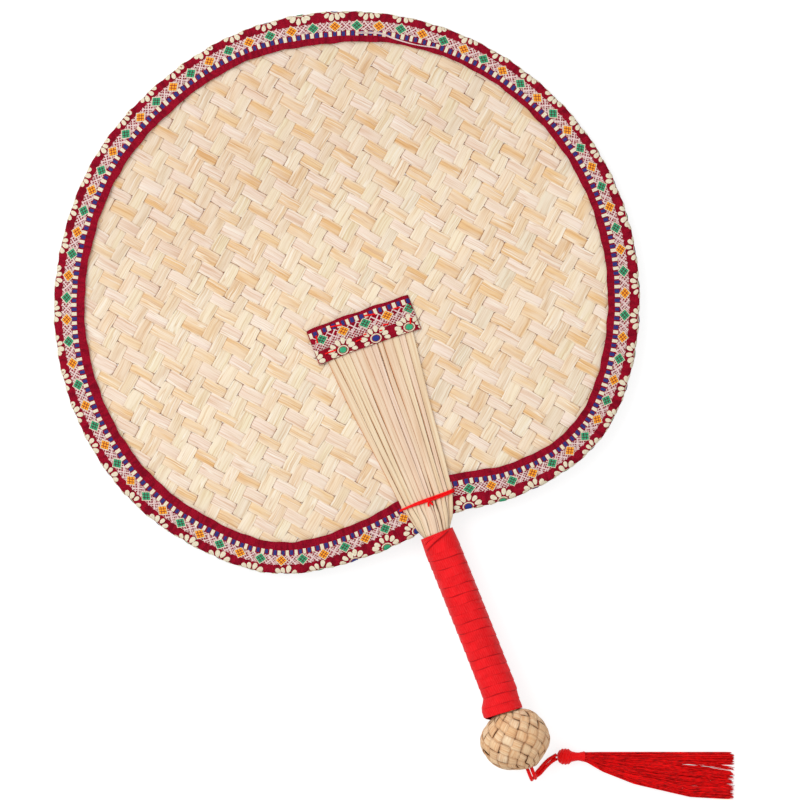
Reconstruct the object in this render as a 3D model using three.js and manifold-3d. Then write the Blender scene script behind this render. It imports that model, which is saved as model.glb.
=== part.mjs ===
// A hand fan of woven reed strips. The blade is a 2/2 twill of flat strips, cut to a round
// outline with a flattened lower edge. A folded trim ribbon binds its rim. On both faces a
// sheaf of reeds runs down the middle and closes round a wooden core to make the handle,
// which is bound in red tape. A plaited straw ball ends the handle, and a tassel hangs from
// the ball on a doubled cord.
//
// The fan lies face up on a table: +Z is up, +Y runs from the handle to the top of the blade.
// The ball is thicker than the blade, so the fan leans on the ball and on its far rim. The
// tassel lies on the table beside the ball. Millimetres and degrees throughout.
import * as THREE from "three";
import { mergeVertices } from "three/addons/utils/BufferGeometryUtils.js";
import Module from "manifold-3d";

// Blade outline, measured from the blade's centre
const BLADE_RADIUS = 155;
const BLADE_FLAT_REACH = 130.5;
const BLADE_CORNER_POWER = 14;
const NECK_NOTCH_DEPTH = 5.14;
const NECK_NOTCH_TURN = 5;
const NECK_NOTCH_SPREAD = 10;
const LEFT_CORNER_EASE = 3.7;
const LEFT_CORNER_TURN = -47;
const LEFT_CORNER_SPREAD = 16;

// Weave: strips in two directions at right angles, over two and under two
const WEAVE_TURN = 39.5;
const RISING_STRIP_PITCH = 6.4;
const FALLING_STRIP_PITCH = 5.8;
const STRIP_THICKNESS = 0.4;
const FLOAT_CROWN = 0.42;
const RIDGE_END = 0.2;
const FRONT_FLOATS_UNDER_RIBBON = 3;
const BACK_FLOATS_UNDER_RIBBON = 1.5;

// Rim ribbon, folded over the edge of the blade
const RIBBON_WIDTH = 16.5;
const RIBBON_THICKNESS = 0.45;
const RIBBON_END_OFFSET = 8;
const RIBBON_SEGMENTS = 55;

// Sheaf of reeds on each face
const REED_COUNT = 12;
const REED_THICKNESS = 0.5;
const REED_CURLED_THICKNESS = 1.2;
const SHEAF_TOP_HEIGHT = 119;
const SHEAF_TOP_WIDTH = 52;
const SHEAF_TOP_LEAN = 3.4;
const SHEAF_TIE_HEIGHT = 12.7;
const SHEAF_TIE_WIDTH = 28.3;
const SHEAF_TIE_LEAN = 1.5;
const REED_CLIMB_LENGTH = 8.5;
const REED_CLIMB_MARGIN = 1.5;
const TIE_DIAMETER = 0.9;

// Ribbon band across the top of each sheaf
const BAND_OVERHANG = 2.7;
const BAND_HEIGHT = 19;

// Handle
const CORE_RADIUS = 6.5;
const HANDLE_START = 5.3;
const HANDLE_LENGTH = 102;
const TAPE_TURNS = 19;
const TAPE_THICKNESS = 1.1;
const TAPE_GAP = 0.45;
const TAPE_STEPS = 16;
const TAPE_TAIL = 1.2;

// Straw ball
const BALL_RADIUS = 17.75;
const BALL_HALF_LENGTH = 16.5;
const BALL_PLAIT_CROWN = 0.6;
const BALL_PLAITS_AROUND = 14;
const BALL_PLAIT_ROWS = 11;
const BALL_SEAT_DEPTH = 8;
const CORD_HOLE_RADIUS = 2.9;

// Tassel and its doubled cord
const CORD_DIAMETER = 1.8;
const CORD_PIVOT_BELOW_MOUTH = 7;
const CORD_SPLIT_HEIGHT = 11;
const HEAD_BESIDE_MOUTH = 16;
const HEAD_BELOW_MOUTH = 1.3;
const TASSEL_TURN = -21.5;
const HEAD_LENGTH = 7.4;
const HEAD_RADIUS = 4.3;
const NECK_LENGTH = 6.4;
const NECK_RADIUS = 2.4;
const SKIRT_LENGTH = 80;
const SKIRT_END_WIDTH = 25.4;
const SKIRT_STRAND_FLUTE = 0.07;
const LOCK_SPREAD = 1.3;

// Clearance between pieces that touch on the real fan
const GAP = 0.3;

const rad = THREE.MathUtils.degToRad;
const lerp = THREE.MathUtils.lerp;

// Heights above the blade's middle plane that the pieces share
const valleyHeight = STRIP_THICKNESS;
const crownHeight = STRIP_THICKNESS + FLOAT_CROWN;
const ribbonInside = crownHeight + GAP;
const ribbonOutside = ribbonInside + RIBBON_THICKNESS;

// Solids from rings of points

function signedVolume(positions, faces) {
  const corner = (index) => new THREE.Vector3().fromArray(positions, index * 3);
  let sum = 0;
  for (const [a, b, c] of faces) sum += corner(a).dot(corner(b).cross(corner(c)));
  return sum / 6;
}

function solidFromFaces(positions, faces) {
  const outward = signedVolume(positions, faces) > 0;
  const index = faces.flatMap(([a, b, c]) => (outward ? [a, b, c] : [a, c, b]));
  const geometry = new THREE.BufferGeometry();
  geometry.setAttribute("position", new THREE.Float32BufferAttribute(positions, 3));
  geometry.setIndex(index);
  return geometry;
}

// A solid through a row of like sections, closed at both ends by the flat outline of a section
function loft(sections, outline) {
  const count = outline.length;
  const positions = sections.flat().flatMap((point) => point.toArray());
  const faces = [];
  for (let row = 0; row + 1 < sections.length; row += 1) {
    for (let side = 0; side < count; side += 1) {
      const next = (side + 1) % count;
      const a = row * count + side;
      const b = row * count + next;
      faces.push([a, b, b + count], [a, b + count, a + count]);
    }
  }
  const last = (sections.length - 1) * count;
  const clockwise = THREE.ShapeUtils.isClockWise(outline);
  for (const triangle of THREE.ShapeUtils.triangulateShape(outline, [])) {
    const [a, b, c] = clockwise ? triangle.reverse() : triangle;
    faces.push([a, c, b], [last + a, last + b, last + c]);
  }
  return solidFromFaces(positions, faces);
}

function roundOutline(sides, radius) {
  return Array.from({ length: sides }, (_, side) => {
    const angle = (side * 2 * Math.PI) / sides;
    return new THREE.Vector2(radius * Math.cos(angle), radius * Math.sin(angle));
  });
}

// A tube along points, as an extrusion of a round section
function tube(points, diameter, sides, steps) {
  const path = new THREE.CatmullRomCurve3(points, false, "centripetal");
  const shape = new THREE.Shape(roundOutline(sides, diameter / 2));
  return new THREE.ExtrudeGeometry(shape, { steps, extrudePath: path, bevelEnabled: false });
}

// Joins and cuts

const wasm = await Module();
wasm.setup();

function toManifold(geometry) {
  const bare = geometry.clone();
  bare.deleteAttribute("normal");
  bare.deleteAttribute("uv");
  const merged = mergeVertices(bare, 1e-4);
  const vertProperties = new Float32Array(merged.attributes.position.array);
  const triVerts = new Uint32Array(merged.index.array);
  return new wasm.Manifold(new wasm.Mesh({ numProp: 3, vertProperties, triVerts }));
}

function fromManifold(solid) {
  const mesh = solid.getMesh();
  const geometry = new THREE.BufferGeometry();
  geometry.setAttribute("position", new THREE.Float32BufferAttribute(mesh.vertProperties, 3));
  geometry.setIndex([...mesh.triVerts]);
  return geometry;
}

// Blade outline: a circle whose lower part is flattened, with a shallow notch beside the handle
// and a rounder corner on the left. turn is measured from the handle's direction.
function outlineRadius(turn) {
  const dip = (depth, middle, spread) => {
    const away = turn - rad(middle);
    return depth * Math.exp(-((Math.atan2(Math.sin(away), Math.cos(away)) / rad(spread)) ** 2));
  };
  const flat = Math.max(Math.cos(turn), 0) / BLADE_FLAT_REACH;
  const sum = flat ** BLADE_CORNER_POWER + BLADE_RADIUS ** -BLADE_CORNER_POWER;
  return sum ** (-1 / BLADE_CORNER_POWER)
    - dip(NECK_NOTCH_DEPTH, NECK_NOTCH_TURN, NECK_NOTCH_SPREAD)
    - dip(LEFT_CORNER_EASE, LEFT_CORNER_TURN, LEFT_CORNER_SPREAD);
}

const bladeCentre = outlineRadius(0);

// A point of the outline, moved inwards along the outline's normal
function outlinePoint(turn, inset) {
  const at = (angle) => {
    const radius = outlineRadius(angle);
    return new THREE.Vector2(radius * Math.sin(angle), bladeCentre - radius * Math.cos(angle));
  };
  const step = 1e-3;
  const along = at(turn + step).sub(at(turn - step)).normalize();
  return at(turn).add(new THREE.Vector2(-along.y, along.x).multiplyScalar(inset));
}

// The outline's corners, shared by the blade's edge and the ribbon round it
const firstTurn = Math.asin(RIBBON_END_OFFSET / bladeCentre);
const outlineTurns = Array.from({ length: RIBBON_SEGMENTS + 1 }, (_, k) =>
  lerp(firstTurn, 2 * Math.PI - firstTurn, k / RIBBON_SEGMENTS));

const ribbonFoldInside = RIBBON_THICKNESS + 2 * GAP;
const bladeInset = ribbonFoldInside + GAP;

// Weave. Strip cells are counted along the falling and the rising direction.
const falling = new THREE.Vector2(Math.sin(rad(WEAVE_TURN)), -Math.cos(rad(WEAVE_TURN)));
const rising = new THREE.Vector2(Math.cos(rad(WEAVE_TURN)), Math.sin(rad(WEAVE_TURN)));

function weavePoint(across, up) {
  return new THREE.Vector2(0, bladeCentre)
    .addScaledVector(falling, across * RISING_STRIP_PITCH)
    .addScaledVector(rising, up * FALLING_STRIP_PITCH);
}

// One float passes over two cells. Its six corners lie in the valleys. On the front it has a
// ridge along its middle; on the back, which is seldom seen, its crown is a single point.
function floatsOnFace(front) {
  const covered = RIBBON_WIDTH - (front ? FRONT_FLOATS_UNDER_RIBBON : BACK_FLOATS_UNDER_RIBBON);
  const reach = Math.ceil(BLADE_RADIUS / Math.min(RISING_STRIP_PITCH, FALLING_STRIP_PITCH)) + 2;
  const floats = [];
  for (let across = -reach; across <= reach; across += 1) {
    for (let up = -reach; up <= reach; up += 1) {
      const phase = (((across + up) % 4) + 4) % 4;
      if (phase % 2 !== 0) continue;
      const alongFalling = (phase === 0) === front;
      const [width, height] = alongFalling ? [2, 1] : [1, 2];
      const middle = weavePoint(across + width / 2, up + height / 2);
      const fromCentre = middle.clone().sub(new THREE.Vector2(0, bladeCentre));
      const turn = Math.atan2(fromCentre.x, -fromCentre.y);
      if (fromCentre.length() > outlineRadius(turn) - covered) continue;
      const ends = front ? [RIDGE_END, 1 - RIDGE_END] : [0.5];
      const crowns = ends.map((share) => {
        const alongWidth = width === 2 ? share : 0.5;
        const alongHeight = height === 2 ? share : 0.5;
        return weavePoint(across + width * alongWidth, up + height * alongHeight);
      });
      floats.push({ across, up, width, height, crowns });
    }
  }
  return floats;
}

function floatCorners({ across, up, width, height }) {
  const corners = [[0, 0]];
  if (width === 2) corners.push([1, 0]);
  corners.push([width, 0]);
  if (height === 2) corners.push([width, 1]);
  corners.push([width, height]);
  if (width === 2) corners.push([1, height]);
  corners.push([0, height]);
  if (height === 2) corners.push([0, 1]);
  return corners.map(([x, y]) => [across + x, up + y]);
}

// The relief of one face as a closed solid that reaches through the middle plane
function reliefSolid(front) {
  const side = front ? 1 : -1;
  const positions = [];
  const known = new Map();
  const vertex = (key, point, height) => {
    if (!known.has(key)) {
      known.set(key, positions.length / 3);
      positions.push(point.x, point.y, height);
    }
    return known.get(key);
  };
  const upper = [];
  for (const float of floatsOnFace(front)) {
    const name = `${float.across},${float.up}`;
    const crowns = float.crowns.map((point, k) =>
      vertex(`crown ${k} ${name}`, point, side * crownHeight));
    const corners = floatCorners(float);
    const rim = corners.map(([across, up]) =>
      vertex(`${across},${up}`, weavePoint(across, up), side * valleyHeight));
    const nearest = corners.map(([across, up], k) => {
      const [nextAcross, nextUp] = corners[(k + 1) % corners.length];
      const edge = weavePoint((across + nextAcross) / 2, (up + nextUp) / 2);
      const distances = float.crowns.map((point) => point.distanceTo(edge));
      return crowns[distances.indexOf(Math.min(...distances))];
    });
    rim.forEach((corner, k) => {
      const next = (k + 1) % rim.length;
      upper.push([corner, rim[next], nearest[k]]);
      if (nearest[k] !== nearest[next]) upper.push([rim[next], nearest[next], nearest[k]]);
    });
  }
  const surfaceCount = positions.length / 3;
  for (let k = 0; k < surfaceCount; k += 1) {
    positions.push(positions[3 * k], positions[3 * k + 1], -side * valleyHeight * 0.5);
  }
  const edges = new Set(upper.flatMap(([a, b, c]) => [`${a} ${b}`, `${b} ${c}`, `${c} ${a}`]));
  const faces = [...upper];
  for (const [a, b, c] of upper) faces.push([c + surfaceCount, b + surfaceCount, a + surfaceCount]);
  for (const edge of edges) {
    const [a, b] = edge.split(" ").map(Number);
    if (edges.has(`${b} ${a}`)) continue;
    faces.push([b, a, a + surfaceCount], [b, a + surfaceCount, b + surfaceCount]);
  }
  return toManifold(solidFromFaces(positions, faces));
}

function makeBlade() {
  const underRibbonStep = 0.02;
  const outline = [0, ...outlineTurns].map((turn) => outlinePoint(turn, bladeInset));
  const plateHalf = valleyHeight - underRibbonStep;
  const plate = new THREE.ExtrudeGeometry(new THREE.Shape(outline), {
    depth: 2 * plateHalf,
    bevelEnabled: false,
  });
  plate.translate(0, 0, -plateHalf);
  return fromManifold(toManifold(plate).add(reliefSolid(true)).add(reliefSolid(false)));
}

// Rim ribbon: a U section carried round the outline, open at the handle
function makeRimRibbon() {
  const foldReach = ribbonOutside * 0.6;
  const outside = [
    [RIBBON_WIDTH, ribbonOutside],
    [foldReach, ribbonOutside],
    [0, 0],
    [foldReach, -ribbonOutside],
    [RIBBON_WIDTH, -ribbonOutside],
  ];
  const inside = [
    [RIBBON_WIDTH, -ribbonInside],
    [ribbonFoldInside, -ribbonInside],
    [ribbonFoldInside, ribbonInside],
    [RIBBON_WIDTH, ribbonInside],
  ];
  const profile = [...outside, ...inside].map(([inset, height]) => new THREE.Vector2(inset, height));
  const sections = outlineTurns.map((turn) => profile.map((point) => {
    const flat = outlinePoint(turn, point.x);
    return new THREE.Vector3(flat.x, flat.y, point.y);
  }));
  return loft(sections, profile);
}

// Sheaf of reeds. A station is one height at which the reeds lie side by side on a curve:
// flat on the blade, heaped at the tie, and half way round the core in the handle.
const reedRadius = CORE_RADIUS + GAP + REED_CURLED_THICKNESS / 2;
const handleEnd = -HANDLE_START - HANDLE_LENGTH;
const ribbonClearance = ribbonOutside + GAP;
const climbTop = RIBBON_WIDTH + REED_CLIMB_MARGIN;
const climbFoot = climbTop + REED_CLIMB_LENGTH;

const sheafStations = [
  { y: SHEAF_TOP_HEIGHT - 1, base: crownHeight + GAP, half: REED_THICKNESS / 2, round: 0, heap: 0 },
  { y: climbFoot, base: crownHeight + GAP, half: 0.3, round: 0, heap: 0.02 },
  { y: climbTop, base: ribbonClearance, half: 0.35, round: 0, heap: 0.06 },
  { y: SHEAF_TIE_HEIGHT, base: ribbonClearance, half: 0.4, round: 0, heap: 0.15 },
  { y: 0, base: ribbonClearance, half: 0.5, round: 0.5, heap: 0.5 },
  { y: -HANDLE_START, base: 0, half: REED_CURLED_THICKNESS / 2, round: 1, heap: 1 },
  { y: handleEnd + 1, base: 0, half: REED_CURLED_THICKNESS / 2, round: 1, heap: 1 },
];

function sheafWidth(y) {
  const share = (y - SHEAF_TIE_HEIGHT) / (SHEAF_TOP_HEIGHT - SHEAF_TIE_HEIGHT);
  return lerp(SHEAF_TIE_WIDTH, SHEAF_TOP_WIDTH, Math.max(share, -0.2));
}

function sheafLean(y) {
  const share = (y - SHEAF_TIE_HEIGHT) / (SHEAF_TOP_HEIGHT - SHEAF_TIE_HEIGHT);
  return lerp(SHEAF_TIE_LEAN, SHEAF_TOP_LEAN, share);
}

// Middle of the sheaf's thickness at a station; across runs from 0 at the left to 1
function sheafPoint(station, across) {
  const flatX = (across - 0.5) * sheafWidth(station.y) + sheafLean(station.y);
  const roundX = -reedRadius * Math.cos(Math.PI * across);
  const lift = reedRadius * Math.sin(Math.PI * across) * station.heap;
  const seat = station.round === 1 ? 0 : station.base + station.half;
  return new THREE.Vector2(lerp(flatX, roundX, station.round), seat + lift);
}

function makeReed(number, side) {
  const sections = sheafStations.map((station) => {
    const across = (number + 0.5) / REED_COUNT;
    const step = 0.5 / REED_COUNT;
    const middle = sheafPoint(station, across);
    const span = sheafPoint(station, across + step).sub(sheafPoint(station, across - step));
    const half = Math.max(span.length() - GAP, 0.2) / 2;
    const along = span.normalize();
    const normal = new THREE.Vector2(-along.y, along.x);
    const corner = (right, up) => {
      const flat = middle.clone().addScaledVector(along, right * half)
        .addScaledVector(normal, up * station.half);
      return new THREE.Vector3(flat.x, station.y, side * flat.y);
    };
    return [corner(-1, -1), corner(1, -1), corner(1, 1), corner(-1, 1)];
  });
  const outline = [[-1, -1], [1, -1], [1, 1], [-1, 1]].map(([x, y]) => new THREE.Vector2(x, y));
  return loft(sections, outline);
}

// Thread tied over a sheaf just above the handle
function makeTie(side) {
  const station = sheafStations.find(({ y }) => y === SHEAF_TIE_HEIGHT);
  const lift = station.half + GAP + TIE_DIAMETER / 2;
  const foot = station.base + TIE_DIAMETER / 2;
  const overReeds = [0, 0.2, 0.4, 0.6, 0.8, 1].map((across) => {
    const point = sheafPoint(station, across);
    return [point.x, point.y + lift];
  });
  const first = overReeds[0];
  const last = overReeds[overReeds.length - 1];
  const outwards = GAP + TIE_DIAMETER;
  const route = [[first[0] - outwards, foot], ...overReeds, [last[0] + outwards, foot]];
  const points = route.map(([x, z]) => new THREE.Vector3(x, SHEAF_TIE_HEIGHT, side * z));
  return tube(points, TIE_DIAMETER, 6, 14);
}

// Ribbon band across the sheaf's top: a flat arch whose ends come down to the blade
function makeBand(side) {
  const foot = crownHeight + GAP;
  const under = foot + REED_THICKNESS + GAP;
  const centre = SHEAF_TOP_LEAN;
  const flatHalf = SHEAF_TOP_WIDTH / 2 + GAP;
  const endHalf = SHEAF_TOP_WIDTH / 2 + BAND_OVERHANG;
  const half = [
    [endHalf, foot],
    [endHalf, foot + RIBBON_THICKNESS],
    [flatHalf + RIBBON_THICKNESS, under + RIBBON_THICKNESS],
  ];
  const right = half.map(([x, z]) => [centre + x, side * z]);
  const left = half.map(([x, z]) => [centre - x, side * z]).reverse();
  const inner = [[centre - flatHalf, side * under], [centre + flatHalf, side * under]];
  const outline = [...right, ...left, ...inner].map(([x, z]) => new THREE.Vector2(x, z));
  const sections = [SHEAF_TOP_HEIGHT - BAND_HEIGHT, SHEAF_TOP_HEIGHT].map((y) =>
    outline.map((point) => new THREE.Vector3(point.x, y, point.y)));
  return loft(sections, outline);
}

// Straw ball, centred so that its shoulder meets the end of the tape
const reedOutside = Math.hypot(CORE_RADIUS + GAP + REED_CURLED_THICKNESS, reedRadius / REED_COUNT);
const tapeInside = (reedOutside + GAP) / Math.cos(Math.PI / TAPE_STEPS);
const tapeOutside = tapeInside + TAPE_THICKNESS;
const shoulder = BALL_HALF_LENGTH * Math.sqrt(1 - (tapeOutside / BALL_RADIUS) ** 2);
const ballCentre = handleEnd - GAP - shoulder;
const ballPole = ballCentre - BALL_HALF_LENGTH;

// Wooden core, with a nose that reaches up between the sheaves to the blade's edge
function makeCore() {
  const top = bladeInset - 2 * GAP;
  const bottom = ballCentre + BALL_HALF_LENGTH - BALL_SEAT_DEPTH;
  const bevel = 1;
  const profile = [
    [0, bottom],
    [CORE_RADIUS - bevel, bottom],
    [CORE_RADIUS, bottom + bevel],
    [CORE_RADIUS, -HANDLE_START - GAP],
    [CORE_RADIUS * 0.2, top],
    [0, top],
  ];
  return new THREE.LatheGeometry(profile.map(([r, y]) => new THREE.Vector2(r, y)), 16);
}

// Tape wound round the handle, as one unbroken band with a bevelled outer face
function makeTape() {
  const width = (HANDLE_LENGTH - TAPE_TURNS * TAPE_GAP) / (TAPE_TURNS + 1);
  const pitch = width + TAPE_GAP;
  const profile = [
    [tapeInside, -0.5],
    [tapeOutside, -0.34],
    [tapeOutside, 0.34],
    [tapeInside, 0.5],
  ];
  const steps = TAPE_TURNS * TAPE_STEPS;
  const section = (step, tail) => {
    const angle = (step * 2 * Math.PI) / TAPE_STEPS;
    const middle = -HANDLE_START - width / 2 - (pitch * step) / TAPE_STEPS;
    return profile.map(([radius, share]) => new THREE.Vector3(
      radius * Math.cos(angle) - tail * Math.sin(angle),
      middle - share * width,
      radius * Math.sin(angle) + tail * Math.cos(angle),
    ));
  };
  const rings = Array.from({ length: steps + 1 }, (_, step) => section(step, 0));
  const sections = [section(0, -TAPE_TAIL), ...rings, section(steps, TAPE_TAIL)];
  const outline = profile.map(([radius, share]) => new THREE.Vector2(radius, share * width));
  console.log(`handle tape: least gap to itself ${leastTurnGap(rings).toFixed(2)} mm`);
  return loft(sections, outline);
}

function leastTurnGap(rings) {
  let least = Infinity;
  rings.forEach((ring, first) => {
    for (let other = first + TAPE_STEPS - 1; other < rings.length; other += 1) {
      if (other > first + TAPE_STEPS + 1) break;
      for (const a of ring) for (const b of rings[other]) least = Math.min(least, a.distanceTo(b));
    }
  });
  return least;
}

// The ball's skin is a diagonal plait: rows of diamonds, each with a raised middle. A seat for
// the core opens at the top, and a hole for the cord at the far end.
function makeBall() {
  const around = BALL_PLAITS_AROUND;
  const seatRadius = (CORE_RADIUS + GAP) / Math.cos(Math.PI / around);
  const skin = (turn, polar, proud) => {
    const ring = (BALL_RADIUS - BALL_PLAIT_CROWN + proud) * Math.sin(polar);
    const y = (BALL_HALF_LENGTH - BALL_PLAIT_CROWN + proud) * Math.cos(polar);
    return [ring * Math.cos(turn), y, ring * Math.sin(turn)];
  };
  const bareRadius = BALL_RADIUS - BALL_PLAIT_CROWN;
  const firstPolar = Math.asin(seatRadius / bareRadius);
  const lastPolar = Math.PI - Math.asin(CORD_HOLE_RADIUS / bareRadius);
  const turnOf = (row, k) => ((k + 0.5 * (row % 2)) * 2 * Math.PI) / around;
  const polarOf = (row) => lerp(firstPolar, lastPolar, row / BALL_PLAIT_ROWS);

  const positions = [];
  const add = (point) => positions.push(...point) / 3 - 1;
  const rows = [];
  for (let row = 0; row <= BALL_PLAIT_ROWS; row += 1) {
    rows.push(Array.from({ length: around }, (_, k) => add(skin(turnOf(row, k), polarOf(row), 0))));
  }
  const wrap = (row, k) => rows[row][((k % around) + around) % around];
  const faces = [];
  for (let row = 1; row < BALL_PLAIT_ROWS; row += 1) {
    const shift = row % 2;
    for (let k = 0; k < around; k += 1) {
      const turn = (turnOf(row, k) + turnOf(row, k + 1)) / 2;
      const crown = add(skin(turn, polarOf(row), BALL_PLAIT_CROWN));
      const left = wrap(row, k);
      const right = wrap(row, k + 1);
      const above = wrap(row - 1, k + shift);
      const below = wrap(row + 1, k + shift);
      faces.push([left, crown, above], [above, crown, right]);
      faces.push([right, crown, below], [below, crown, left]);
    }
  }
  for (let k = 0; k < around; k += 1) {
    faces.push([wrap(0, k), wrap(1, k), wrap(0, k + 1)]);
    const shift = BALL_PLAIT_ROWS % 2;
    const inner = wrap(BALL_PLAIT_ROWS - 1, k + shift);
    faces.push([wrap(BALL_PLAIT_ROWS, k), wrap(BALL_PLAIT_ROWS, k + 1), inner]);
  }

  const floorHeight = BALL_HALF_LENGTH - BALL_SEAT_DEPTH - GAP;
  const seat = Array.from({ length: around }, (_, k) => {
    const turn = turnOf(0, k);
    return add([seatRadius * Math.cos(turn), floorHeight, seatRadius * Math.sin(turn)]);
  });
  const hole = Array.from({ length: around }, (_, k) => {
    const turn = turnOf(BALL_PLAIT_ROWS, k);
    return add([CORD_HOLE_RADIUS * Math.cos(turn), floorHeight, CORD_HOLE_RADIUS * Math.sin(turn)]);
  });
  for (let k = 0; k < around; k += 1) {
    const next = (k + 1) % around;
    faces.push([wrap(0, k), wrap(0, next), seat[next]], [wrap(0, k), seat[next], seat[k]]);
    faces.push([seat[k], seat[next], hole[k]], [seat[next], hole[next], hole[k]]);
    faces.push([hole[k], hole[next], wrap(BALL_PLAIT_ROWS, next)]);
    faces.push([hole[k], wrap(BALL_PLAIT_ROWS, next), wrap(BALL_PLAIT_ROWS, k)]);
  }
  const geometry = solidFromFaces(positions, faces);
  return geometry.translate(0, ballCentre, 0);
}

// Tassel, drawn from the near end of its head along its own +X, on the table
const neckStart = HEAD_LENGTH + GAP;
const skirtStart = neckStart + NECK_LENGTH + GAP;

function lyingLathe(profile, sides) {
  const points = profile.map(([along, radius]) => new THREE.Vector2(radius, along));
  const geometry = new THREE.LatheGeometry(points, sides);
  return geometry.rotateZ(-Math.PI / 2).translate(0, 0, HEAD_RADIUS + GAP);
}

function makeHead() {
  const r = HEAD_RADIUS;
  const l = HEAD_LENGTH;
  const profile = [[0, 0], [0, r * 0.45], [l * 0.16, r * 0.82], [l * 0.45, r], [l * 0.75, r * 0.86],
    [l, r * 0.56], [l, 0]];
  return lyingLathe(profile, 12);
}

function makeNeck() {
  const end = neckStart + NECK_LENGTH;
  const waist = NECK_RADIUS * 0.9;
  const profile = [[neckStart, 0], [neckStart, NECK_RADIUS], [(neckStart + end) / 2, waist],
    [end, NECK_RADIUS], [end, 0]];
  return lyingLathe(profile, 12);
}

// The skirt spreads in two locks. Each station gives its share of the length, the line that
// parts the locks, the lower edge and half the thickness.
const skirtTopEdge = NECK_RADIUS;
const skirtStations = [
  { share: 0, parting: 0.5, lower: -NECK_RADIUS, half: 2.2, drop: 0 },
  { share: 0.12, parting: -0.5, lower: -SKIRT_END_WIDTH * 0.32, half: 2.6, drop: 0.8 },
  { share: 0.33, parting: -1.8, lower: -SKIRT_END_WIDTH * 0.58, half: 2.6, drop: 1 },
  { share: 0.7, parting: -3.2, lower: -SKIRT_END_WIDTH * 0.85, half: 2.4, drop: 1 },
  { share: 1, parting: -5, lower: skirtTopEdge - SKIRT_END_WIDTH, half: 1.9, drop: 1 },
];

function makeLock(lower) {
  const points = 12;
  const outline = roundOutline(points, 1);
  const sections = skirtStations.map((station) => {
    const spread = station.share * LOCK_SPREAD;
    const top = lower ? station.parting - GAP / 2 - spread : skirtTopEdge;
    const bottom = lower ? station.lower : station.parting + GAP / 2 + spread * 0.5;
    const middle = (top + bottom) / 2;
    const halfWidth = (top - bottom) / 2;
    const lying = station.half * (1 + SKIRT_STRAND_FLUTE) + GAP;
    const height = lerp(HEAD_RADIUS + GAP, lying, station.drop);
    return outline.map((point, k) => {
      const flute = 1 + (k % 2 === 0 ? SKIRT_STRAND_FLUTE : -SKIRT_STRAND_FLUTE);
      const across = point.y * halfWidth * Math.min(flute, 1);
      return new THREE.Vector3(
        skirtStart + station.share * SKIRT_LENGTH,
        middle + across,
        height + point.x * station.half * flute,
      );
    });
  });
  return loft(sections, outline);
}

// Cord: two legs side by side, each from inside the ball's hole down to the table and along
// it to the head. Points are taken from the middle of the hole's mouth; the height of the
// first run is that of the mouth, the height of the second is measured from the table.
const leftStub = [[-1.1, 2.5, 0], [-1.1, 0, 0], [-1.1, -2.4, -0.1], [-1.08, -4.8, -0.9],
  [-1.03, -6.5, -2.9]];
const rightStub = [[1.1, 2.5, 0], [1.1, 0, 0], [1.1, -2.2, -0.1], [1.08, -4.6, -0.9],
  [1.03, -6.3, -2.9]];
const leftLeg = [[-1, -7, 8.2], [-0.9, -7.1, 5.6], [-0.2, -7.4, 3], [1.6, -7.4, 1.45],
  [4.3, -6.8, 1.3], [7, -5.5, 1.3], [10, -4.1, 1.6], [12.7, -3, 2.7], [14.95, -2.3, 3.8]];
const rightLeg = [[1, -7, 8.2], [1.2, -6.8, 5.6], [2, -6, 3], [3.4, -4.7, 1.45],
  [5.6, -3.4, 1.3], [8.4, -2, 1.3], [11.3, -0.8, 1.6], [13.7, -0.3, 2.7], [15.7, -0.1, 3.8]];

function makeCordRun(points, steps) {
  return tube(points.map(([x, y, z]) => new THREE.Vector3(x, y, z)), CORD_DIAMETER, 8, steps);
}

// Finishes
const finish = (color, roughness) => new THREE.MeshStandardMaterial({ color, roughness, metalness: 0 });
const wovenReed = finish(0xe9d3ae, 0.6);
const sheafReed = finish(0xe6c796, 0.5);
const trimRibbon = finish(0x82142b, 0.8);
const coreWood = finish(0xc9a26b, 0.7);
const redTape = finish(0xe62434, 0.45);
const redThread = finish(0xd01a22, 0.6);
const plaitedStraw = finish(0xcda678, 0.65);

function piece(name, geometry, material) {
  const mesh = new THREE.Mesh(geometry, material);
  mesh.name = name;
  return mesh;
}

const twoDigits = (number) => String(number + 1).padStart(2, "0");

const ball = piece("straw_ball", makeBall(), plaitedStraw);
const rim = piece("rim_ribbon", makeRimRibbon(), trimRibbon);
const fan = new THREE.Group();
fan.add(piece("woven_blade", makeBlade(), wovenReed), rim);
for (let number = 0; number < REED_COUNT; number += 1) {
  fan.add(piece(`front_reed_${twoDigits(number)}`, makeReed(number, 1), sheafReed));
  fan.add(piece(`back_reed_${twoDigits(number)}`, makeReed(number, -1), sheafReed));
}
fan.add(
  piece("front_band", makeBand(1), trimRibbon),
  piece("back_band", makeBand(-1), trimRibbon),
  piece("front_tie", makeTie(1), redThread),
  piece("back_tie", makeTie(-1), redThread),
  piece("handle_core", makeCore(), coreWood),
  piece("handle_tape", makeTape(), redTape),
  ball,
);

// Lean of the fan at which its ball and its far rim touch the table together
function lowest(mesh, lean) {
  const { array } = mesh.geometry.attributes.position;
  let low = Infinity;
  for (let k = 0; k < array.length; k += 3) {
    low = Math.min(low, array[k + 1] * Math.sin(lean) + array[k + 2] * Math.cos(lean));
  }
  return low;
}

function restingLean() {
  let steep = -rad(30);
  let flat = 0;
  for (let step = 0; step < 50; step += 1) {
    const lean = (steep + flat) / 2;
    if (lowest(rim, lean) < lowest(ball, lean)) steep = lean;
    else flat = lean;
  }
  return (steep + flat) / 2;
}

fan.rotation.x = restingLean();
fan.updateMatrixWorld(true);
const fanBox = new THREE.Box3().setFromObject(fan, true);
const fanMiddle = fanBox.getCenter(new THREE.Vector3());
fan.position.set(-fanMiddle.x, -fanMiddle.y, -fanBox.min.z);
fan.updateMatrixWorld(true);

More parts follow.
